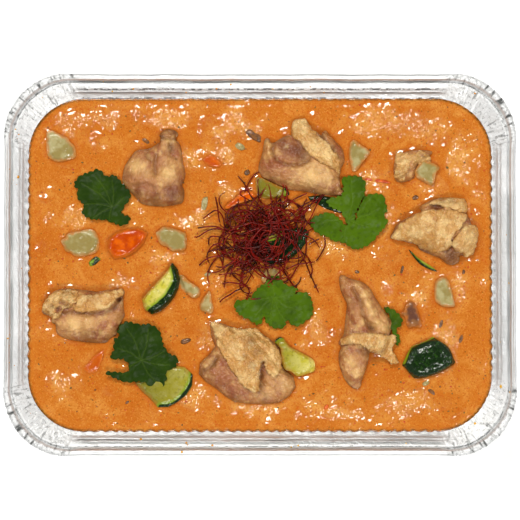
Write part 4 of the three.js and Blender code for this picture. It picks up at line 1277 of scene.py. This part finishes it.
def zucchiniFinish():
    made = Finish("zucchini")
    skin, rind, olive, wetAndShade = [made.mark(name) for name in ("skin", "rind", "olive", "wetAndShade")]
    flesh = made.over(
        zucchiniTone["flesh"],
        (zucchiniTone["light"], made.between(made.grain(4, 3), 0.4, 0.65)),
        (zucchiniTone["olive"], made.between(made.grain(1.3, 4), 0.52, 0.7) * 0.5),
        # olive: the flesh's own colour, with painted shade towards one side of some pieces
        (zucchiniTone["olive"], olive * 0.9),
        (sauce["deep"], wetAndShade * 0.4),
        (zucchiniTone["rind"], rind * 0.85),
    )
    flecked = made.between(made.grain(1.5, 4, 0.65), 0.5, 0.7)
    peel = made.mix(zucchiniTone["skin"], zucchiniTone["skinLight"], flecked * 0.8)
    colour = made.mix(flesh, peel, skin)
    relief = made.bump(made.grain(1.2, 3), 0.2)
    return made.shade(colour, 0.24 - skin * 0.08, relief, Subsurface_Weight=0.06,
                      Subsurface_Radius=(0.002, 0.002, 0.001), Subsurface_Scale=0.4, Specular_IOR_Level=0.5)


# coriander

# in mm from the middle of the solid: where the veins start and the tips they run to
leaves = {
    "coriander_1": {"stem": (4, -4), "tips": [(-9, 6), (-3, 9), (4, 7), (-9, -3), (-4, -9), (3, -9),
                                              (9, 0)],
                    "dark": 0.85, "curl": 0.9},
    "coriander_2": {"stem": (0, -3), "tips": [(1, 14), (11, 9), (13, 2), (9, -6), (-2, -13), (-13, -5),
                                              (-9, 4)],
                    "dark": 0.2, "curl": 0.8},
    "coriander_3": {"stem": (0, -2), "tips": [(-6, 11), (3, 11), (10, 2), (12, -4), (7, -12), (-8, -8),
                                              (-10, 3)],
                    "dark": 0.9, "curl": 1.3},
    "coriander_4": {"stem": (0, 2), "tips": [(-1, 9), (9, 4), (12, -4), (5, -8), (-1, -9), (-8, -6),
                                             (-13, -1)],
                    "dark": 0.3, "curl": 0.9},
    "coriander_5": {"stem": (-2, 0), "tips": [(2, -7), (3, 4), (0, 7)], "dark": 0.5, "curl": 0.4},
}
leafThickness = 0.28
leafTone = {"bright": tone(76, 108, 0), "dark": tone(30, 54, 2), "vein": tone(116, 146, 34)}


def toothed(outline, pitch, depth):
    # scallops along a leaf's edge
    closed = np.vstack([outline, outline[:1]])
    lengths = np.hypot(*np.diff(closed, axis=0).T)
    travel = np.concatenate([[0], np.cumsum(lengths)])
    count = int(travel[-1] / 0.3)
    steps = np.linspace(0, travel[-1], count, endpoint=False)
    edge = np.stack([np.interp(steps, travel, closed[:, i]) for i in (0, 1)], 1)
    ahead = np.roll(edge, -2, axis=0) - np.roll(edge, 2, axis=0)
    normal = np.stack([ahead[:, 1], -ahead[:, 0]], 1) / np.maximum(np.hypot(*ahead.T), 1e-6)[:, None]
    if ringArea(edge) < 0:
        normal = -normal
    teeth = round(travel[-1] / pitch)
    wave = np.abs(np.sin(np.arange(count) / count * math.pi * teeth + blots(edge, 5, 77) * 1.5)) - 0.5
    return edge + normal * (wave * depth)[:, None]


def corianderLeaf(node, looks, material):
    outline = toothed(outlineOf(node), 2.6, 0.7)
    piece = gridOver(node + "_leaf", outline, cells["coriander"])
    low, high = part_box(node)
    places = points(piece)
    flat = places[:, :2] - middleOf(node)
    seed = int(node[-1]) + 400
    stem = np.array(looks["stem"], float)
    vein = np.full(len(flat), 9.0)
    twig = np.full(len(flat), 9.0)
    for tip in looks["tips"]:
        tip = np.array(tip, float)
        bend = (stem + tip) / 2 + np.array([tip[1] - stem[1], stem[0] - tip[0]]) * 0.06
        vein = np.minimum(vein, alongLine(flat, smoothLine([stem, bend, tip], 6, False)))
        run = tip - stem
        for share in (0.35, 0.55, 0.75):
            start = stem + run * share
            for side in (-1, 1):
                turn = np.array([run[0] - side * run[1] * 0.8, run[1] + side * run[0] * 0.8]) * 0.24
                twig = np.minimum(twig, alongLine(flat, np.array([start, start + turn])))
    veins = np.exp(-(vein / 0.22) ** 2) + np.exp(-(twig / 0.16) ** 2) * 0.35
    pucker = blots(flat, 5.5, seed) * 0.7 + blots(flat, 1.8, seed + 1) * 0.12
    spread = np.hypot(*(flat - stem).T) / 12
    wave = blots(flat, 11, seed + 2) * looks["curl"] * spread
    droop = -rise(spread, 0.5, 1.4) * 0.5 * looks["curl"]
    base = (low.z + high.z) / 2 / mm + 0.4
    sunkVein = np.exp(-(vein / 0.5) ** 2) * 0.14
    places[:, 2] = np.maximum(base + pucker + wave + droop - sunkVein, level + 0.4)
    setPoints(piece, places)
    count = len(flat)
    modify(piece, "SOLIDIFY", thickness=leafThickness, offset=-1)
    mark(piece, count, vein=veins, shade=looks["dark"] + blots(flat, 9, seed + 4) * 0.3)
    return place(piece, material, "coriander", node)


def corianderFinish():
    made = Finish("coriander")
    vein, darkness = made.mark("vein"), made.mark("shade")
    colour = made.mix(leafTone["bright"], leafTone["dark"], made.between(darkness, 0, 1))
    colour = made.mix(colour, leafTone["dark"], made.between(made.grain(2.5, 4, 0.6), 0.48, 0.7) * 0.4)
    colour = made.mix(colour, leafTone["vein"], vein * 0.14)
    relief = made.bump(made.grain(0.7, 3), 0.08)
    relief = made.bump(vein, -0.08, relief)
    return made.shade(colour, 0.4, relief, Specular_IOR_Level=0.12)


# chilli threads

threads = {
    "middle": (1.0, 10.3),
    "arcs": 70,  # long bends round the middle of the tuft, most of them above and to the right
    "tangled": 90,  # short tight curls on its lower left
    "thick": 0.33,
    "step": 0.9,
    "tall": 5.4,
    "seed": 12,
}
# threads that stray out of the tuft, in mm from its middle
strays = [
    [(-20, 18), (-19, 14), (-18, 8)], [(-25, 9.5), (-20, 12.5), (-16.5, 10), (-15.5, 4)],
    [(-28, 1.5), (-22, 4), (-17, 4.5), (-10, 2.5)], [(-27, 5.5), (-20, 5.5), (-12, 3.5), (-5, 5)],
    [(-22.5, -2), (-21.5, 1), (-16, 1), (-9, -1)], [(-27, -11), (-22, -7), (-16, -7), (-9, -9)],
    [(-19, -4), (-18, -8), (-16, -13)], [(-18, -14.5), (-12, -14), (-7, -16)],
    [(-17, -18.5), (-11, -18), (-5, -20)], [(-18, -26), (-12, -21.5), (-7, -18.5), (-3, -12)],
    [(-5, 22), (-9, 21), (-9, 19), (-4, 16), (2, 12)], [(-1.5, 26), (-2, 20), (-1, 17), (3, 14)],
    [(-13, 10), (-8, 8), (-4, 10)], [(8, 18.5), (14, 15), (18, 9), (22, 5)], [(19, 20), (13, 17), (9, 13)],
    [(26, 1), (26, -4), (22.5, -8.5)], [(12, -2), (18, -6), (21, -12), (20.5, -16)],
    [(17, -8), (13, -15), (9, -18)], [(8, -12), (12, -17.5), (14.5, -20)], [(3, -14), (4, -20),
                                                                            (-1, -24.5), (-6, -25)],
    [(-12, -9), (-13, -14), (-6, -20), (-7, -25)], [(20, -2), (23, 0), (24, 0.5)], [(10, -12),
                                                                                    (16, -10),
                                                                                    (22, -9)],
    [(-14, 6), (-17, 2), (-13, -3)], [(-10, -3), (-16, -6), (-17, -10)], [(0, 12), (-6, 10), (-9, 5)],
    [(-6, 13), (-5, 8), (-6, 3)], [(5, 17), (0, 12), (-6, 9)], [(16, 5), (19, -2), (17, -9)],
]


def chilliThreads():
    middle = np.array(threads["middle"])
    chance = random.Random(threads["seed"])
    data = bpy.data.curves.new("chilli_line", "CURVE")
    data.dimensions = "3D"
    data.bevel_depth = threads["thick"]
    data.bevel_resolution = 1
    data.use_fill_caps = True

    def addThread(line, start, drift):
        height, pitch = level + start, 0
        spline = data.splines.new("POLY")
        spline.points.add(len(line) - 1)
        for k, spot in enumerate(line):
            spline.points[k].co = (*(middle + spot), height, 1)
            spline.points[k].radius = chance.uniform(0.85, 1.1) * (1 - 0.5 * (k / len(line)) ** 6)
            pitch = pitch * 0.8 + chance.gauss(0, drift)
            low = level + 0.7
            high = level + 1.2 + threads["tall"] * max(0.1, 1 - np.hypot(*spot) ** 2 / 380)
            height = min(max(height + pitch * threads["step"], low), high)

    def wandering(spot, heading, bend, count):
        line = []
        for _ in range(count):
            line.append(np.array(spot))
            spot = spot + threads["step"] * np.array([math.cos(heading), math.sin(heading)])
            heading += bend + chance.gauss(0, 0.06)
            bend += chance.gauss(0, 0.02)
        return line

    for _ in range(threads["arcs"]):
        around = math.radians(chance.gauss(75, 75))
        radius = chance.uniform(3, 14.5)
        spot = np.array([2.5, 0.5]) + radius * np.array([math.cos(around), math.sin(around) * 0.9])
        way = chance.choice((-1, 1))
        heading = around + way * math.pi / 2 + chance.gauss(0, 0.65)
        line = wandering(spot, heading, way * threads["step"] / (radius + chance.uniform(0, 14)),
                         chance.randint(14, 34))
        addThread(line, chance.uniform(1, threads["tall"]), 0.09)
    for _ in range(threads["tangled"]):
        spot = np.array([-3.5 + chance.gauss(0, 5), -3 + chance.gauss(0, 6)])
        bend = chance.choice((-1, 1)) * threads["step"] / chance.uniform(3, 16)
        addThread(wandering(spot, chance.uniform(0, 2 * math.pi), bend, chance.randint(10, 26)),
                  chance.uniform(0.9, 3.6), 0.1)
    for corners in strays:
        line = smoothLine(corners, 8, False)
        line = line + np.stack([blots(line, 6, 91), blots(line, 6, 92)], 1) * 0.6
        addThread(line, chance.uniform(0.9, 2.2), 0.05)
    piece = bpy.data.objects.new("chilli_strands", data)
    bpy.context.scene.collection.objects.link(piece)
    pick(piece)
    bpy.ops.object.convert(target="MESH")
    return place(bpy.context.object, chilliFinish(), "chilli", "chilli_threads")


def chilliFinish():
    made = Finish("chilli")
    colour = made.mix(tone(118, 10, 0), tone(60, 6, 0), made.between(made.grain(3, 3), 0.4, 0.65))
    colour = made.mix(colour, tone(156, 34, 2), made.between(made.grain(5, 2), 0.54, 0.7) * 0.7)
    relief = made.bump(made.grain(0.4, 2), 0.05)
    return made.shade(colour, 0.32, relief, Specular_IOR_Level=0.2)


# small things on the sauce

# name: slot, colours, then each bit's x, y, length, width and turn in degrees
bits = {
    "zucchini_bit": ("zucchini", (zucchiniTone["skin"], zucchiniTone["rind"]),
                     [(-69.9, 1.5, 5.2, 2.8, 35)]),
    "potato_bits": ("potato", diced["potato"][:2],
                    [(-23.4, 26.0, 5.8, 2.6, 78), (-22.2, -4.0, 2.6, 1.6, 20), (70, -50, 3.2, 1.8, 30),
                     (-8.5, 50.0, 4.5, 2.6, 150)]),
    "carrot_bits": ("carrot", diced["carrot"][:2],
                    [(49.8, 35.6, 11, 1.4, -8), (-63, -19, 2.2, 1.4, 10), (28, -60, 2.4, 1.5, 60)]),
    "spice_bits": ("aubergine", (tone(134, 84, 38), tone(92, 58, 28)),
                   [(-2.6, 54.6, 7.4, 3.2, -35), (65.7, 28.4, 2.6, 1.8, 20),
                    (76.4, -25.0, 3.6, 1.3, 75), (84.8, -31.3, 3.8, 1.4, 70),
                    (72.3, -53.5, 3.6, 1.5, -40), (-31.4, -32.2, 4.4, 2.2, 15),
                    (-48.3, 52.4, 3.4, 1.6, -30), (-83, -13.5, 1.4, 1.0, 0), (-56, -58, 1.8, 1.0, 40),
                    (86, -3, 2.2, 1.2, 80), (-36, 43, 1.8, 1.2, 10), (23.5, -9, 2, 1.2, 50),
                    (14, 48, 2, 1.3, 20), (60, -2, 3.4, 1.2, 75), (41, -3, 1.8, 1.4, 0),
                    (-5.5, 39, 2.6, 2.2, 30)]),
}


def onTop(tree, x, y, fallback):
    # height of a finished piece at one place, in mm
    height = lookDown(tree, [(x * mm, y * mm)], 1)[0] / mm
    return fallback if np.isnan(height) else height


def scatteredBits(name, sauceTree):
    slotName, colours, rows = bits[name]
    parts = []
    for i, (x, y, length, width, turn) in enumerate(rows):
        startClean()
        bpy.ops.mesh.primitive_ico_sphere_add(subdivisions=4, radius=1)
        piece = bpy.context.object
        places = points(piece)
        flat = places[:, :2] + i * 5
        uneven = 1 + blots(flat, 0.8, 60 + i) * 0.16
        uneven += blots(flat + places[:, 2:] * 2, 0.35, 61 + i) * 0.07
        places *= uneven[:, None]
        places[:, :2] = np.sign(places[:, :2]) * np.abs(places[:, :2]) ** 0.85
        places *= (length / 2, width / 2, min(width * 0.4, 0.8))
        places[:, :2] = turned(places[:, :2], -math.radians(turn)) + (x, y)
        places[:, 2] += onTop(sauceTree, x, y, level) - 0.05
        setPoints(piece, places)
        parts.append(piece)
    piece = joined(parts)
    piece.name = name
    made = Finish(name)
    colour = made.mix(*colours, made.between(made.grain(1.4, 3), 0.42, 0.62))
    relief = made.bump(made.grain(0.6, 3), 0.15)
    return place(piece, made.shade(colour, 0.3, relief, Coat_Weight=0.3, Coat_Roughness=0.15), slotName)


flecks = {"count": 640, "size": (0.2, 0.62), "seed": 7}
drops = {"count": 46, "size": (0.2, 0.75), "seed": 23}


def littleLump():
    # a lump of 20 faces to copy
    startClean()
    bpy.ops.mesh.primitive_ico_sphere_add(subdivisions=1, radius=1)
    lump = bpy.context.object
    corners = points(lump)
    faces = [face.vertices[:] for face in lump.data.polygons]
    bpy.data.objects.remove(lump)
    return corners, faces


def gathered(name, shapes, faces):
    # many copies of one lump as a single mesh
    count = len(shapes[0])
    data = bpy.data.meshes.new(name)
    data.from_pydata(np.vstack(shapes).tolist(), [],
                     [tuple(i + k * count for i in face) for k in range(len(shapes)) for face in faces])
    piece = bpy.data.objects.new(name, data)
    bpy.context.scene.collection.objects.link(piece)
    return piece


def herbFlecks(outlines, sauceTree):
    corners, faces = littleLump()
    chance = np.random.default_rng(flecks["seed"])
    spots = chance.uniform(-1, 1, (flecks["count"], 2)) * (halfMouth - 2)
    free = outFrom(spots) < -2
    for outline in outlines:
        free &= ~measure(spots, outline)[0]
    spots = spots[free]
    tints = chance.random(len(spots))
    shapes = []
    for spot in spots:
        size = chance.uniform(*flecks["size"])
        shape = corners * chance.uniform(0.75, 1.2, (len(corners), 1))
        shape *= (size, size * chance.uniform(0.4, 0.8), size * 0.35)
        shape[:, :2] = turned(shape[:, :2], chance.uniform(0, math.pi)) + spot
        shape[:, 2] += onTop(sauceTree, *spot, level) - 0.02
        shapes.append(shape)
    piece = gathered("herb_flecks", shapes, faces)
    mark(piece, len(piece.data.vertices), tint=np.repeat(tints, len(corners)))
    made = Finish("herb_fleck")
    tint = made.mark("tint")
    colour = made.over(
        tone(150, 84, 24),
        (tone(104, 84, 30), made.between(tint, 0.2, 0.25)),
        (tone(196, 62, 6), made.between(tint, 0.5, 0.55)),
        (tone(70, 44, 18), made.between(made.grain(0.6, 2), 0.5, 0.7) * 0.5),
    )
    return place(piece, made.shade(colour, 0.4), "coriander")


def sauceDrops(foil):
    # tiny splashes on the tray's rim
    corners, faces = littleLump()
    chance = random.Random(drops["seed"])
    tree = treeOf(foil)
    shapes = []
    ray = np.arange(60, 140, 0.25)[:, None]
    for _ in range(drops["count"]):
        around = chance.uniform(0, 2 * math.pi)
        towards = np.array([math.cos(around), math.sin(around)])
        spot = towards * np.interp(chance.uniform(2.2, 8.5), outFrom(ray * towards), ray[:, 0])
        size = chance.uniform(*drops["size"]) * chance.uniform(0.6, 1)
        shape = corners * (size, size * chance.uniform(0.7, 1.3), size * 0.4)
        shape[:, :2] += spot
        shape[:, 2] += onTop(tree, *spot, 36) + size * 0.1
        shapes.append(shape)
    piece = gathered("sauce_drops", shapes, faces)
    made = Finish("sauce_drop")
    colour = made.mix(tone(234, 180, 40), tone(214, 146, 40), made.between(made.grain(6, 2), 0.4, 0.6))
    return place(piece, made.shade(colour, 0.2), "sauce")


# build

def seenEdge(node):
    # the edge given above for a piece, or that of its CAD solid
    corners = cutEdges.get(node) or chickenPieces.get(node, {}).get("edge")
    if not corners:
        return outlineOf(node)
    return smoothLine(corners, 4) + middleOf(node)


groups = {kind: sorted(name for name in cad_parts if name.startswith(kind + "_"))
          for kind in ("chicken", "potato", "carrot", "aubergine", "zucchini", "coriander")}

foil = foilTray()
print("tray made")
outlines = {name: seenEdge(name) for names in groups.values() for name in names}
solidOnes = [line for name, line in outlines.items() if not name.startswith("coriander")]
leafOnes = [line for name, line in outlines.items() if name.startswith("coriander")]
sauceBody = currySauce(solidOnes, leafOnes)
print("sauce made")

meat = chickenFinish()
for name in groups["chicken"]:
    chickenPiece(name, chickenPieces[name], outlines[name], meat)
print("chicken made")

for kind in diced:
    finish = dicedFinish(kind)
    for name in groups[kind]:
        vegetable(name, finish, kind, outlines[name])
courgette = zucchiniFinish()
for name in groups["zucchini"]:
    vegetable(name, courgette, "zucchini", outlines[name], zucchiniSkins[name])
print("vegetables made")

leafGreen = corianderFinish()
for name, looks in leaves.items():
    corianderLeaf(name, looks, leafGreen)
chilliThreads()
print("garnish made")

sauceTree = treeOf(sauceBody)
for name in bits:
    scatteredBits(name, sauceTree)
herbFlecks(list(outlines.values()), sauceTree)
sauceDrops(foil)
print("small things made")


# floor, lights and camera

studio = {
    # how far away it is and how wide it sees in metres, degrees off straight down, mm of sensor
    "camera": {"distance": 0.9, "wide": 0.2184, "tilt": 1.5, "aim": (0, 0.0019, 0.036), "sensor": 36},
    "world": [(0.0, 0.14), (0.45, 0.24), (0.8, 0.24), (0.97, 0.05), (1.0, 0.03)],  # strength by height
    # place, size across and along, watts, colour
    "lights": {
        "back": ((-0.20, 0.80, 1.24), (0.44, 0.20), 10.4, (1, 0.98, 0.92)),
        "front": ((0.16, -0.84, 1.20), (0.40, 0.18), 8.2, (1, 0.985, 0.94)),
        "left": ((-1.1, 0.15, 1.2), (0.10, 0.4), 4.2, (1, 0.99, 0.97)),
        "right": ((1.1, -0.1, 1.2), (0.10, 0.4), 4.6, (1, 0.99, 0.97)),
    },
}


def setStage():
    startClean()
    bpy.ops.mesh.primitive_plane_add(size=6)
    floor = bpy.context.object
    floor.name = "floor"
    made = Finish("floor")
    colour = made.mix(tone(250, 250, 250), tone(253, 253, 253), made.between(made.grain(400, 1), 0, 1))
    material = made.shade(colour, 0.8, Emission_Color=(1, 1, 1, 1), Emission_Strength=0.27)
    floor.data.materials.append(material)
    for name, (spot, size, watts, colour) in studio["lights"].items():
        data = bpy.data.lights.new(name, "AREA")
        data.shape = "RECTANGLE"
        data.size, data.size_y = size
        data.energy = watts
        data.color = colour
        lamp = bpy.data.objects.new(name, data)
        bpy.context.scene.collection.objects.link(lamp)
        lamp.location = spot
        lamp.rotation_mode = "QUATERNION"
        lamp.rotation_quaternion = (Vector(spot) - Vector((0, 0, 0.03))).to_track_quat("Z", "Y")
    world = bpy.data.worlds.new("studio")
    world.use_nodes = True
    nodes, links = world.node_tree.nodes, world.node_tree.links
    way = nodes.new("ShaderNodeTexCoord")
    parts = nodes.new("ShaderNodeSeparateXYZ")
    ramp = nodes.new("ShaderNodeFloatCurve")
    curve = ramp.mapping.curves[0]
    for upwards, strength in studio["world"][1:-1]:
        curve.points.new(upwards, strength)
    for point, row in zip(curve.points, studio["world"]):
        point.location = row
    ramp.mapping.update()
    links.new(way.outputs["Generated"], parts.inputs[0])
    links.new(parts.outputs["Z"], ramp.inputs["Value"])
    links.new(ramp.outputs[0], nodes["Background"].inputs["Strength"])
    nodes["Background"].inputs["Color"].default_value = (1, 1, 1, 1)
    bpy.context.scene.world = world
    bpy.context.scene.view_settings.view_transform = "Standard"
    view = studio["camera"]
    data = bpy.data.cameras.new("camera")
    data.sensor_width = view["sensor"]
    data.lens = view["sensor"] * view["distance"] / view["wide"]
    camera = bpy.data.objects.new("camera", data)
    bpy.context.scene.collection.objects.link(camera)
    tilt = math.radians(view["tilt"])
    camera.location = Vector(view["aim"]) + Vector((0, -math.sin(tilt), math.cos(tilt))) * view["distance"]
    camera.rotation_euler = (tilt, 0, 0)
    data.clip_start, data.clip_end = 0.01, 20
    bpy.context.scene.camera = camera


setStage()
print("stage set")
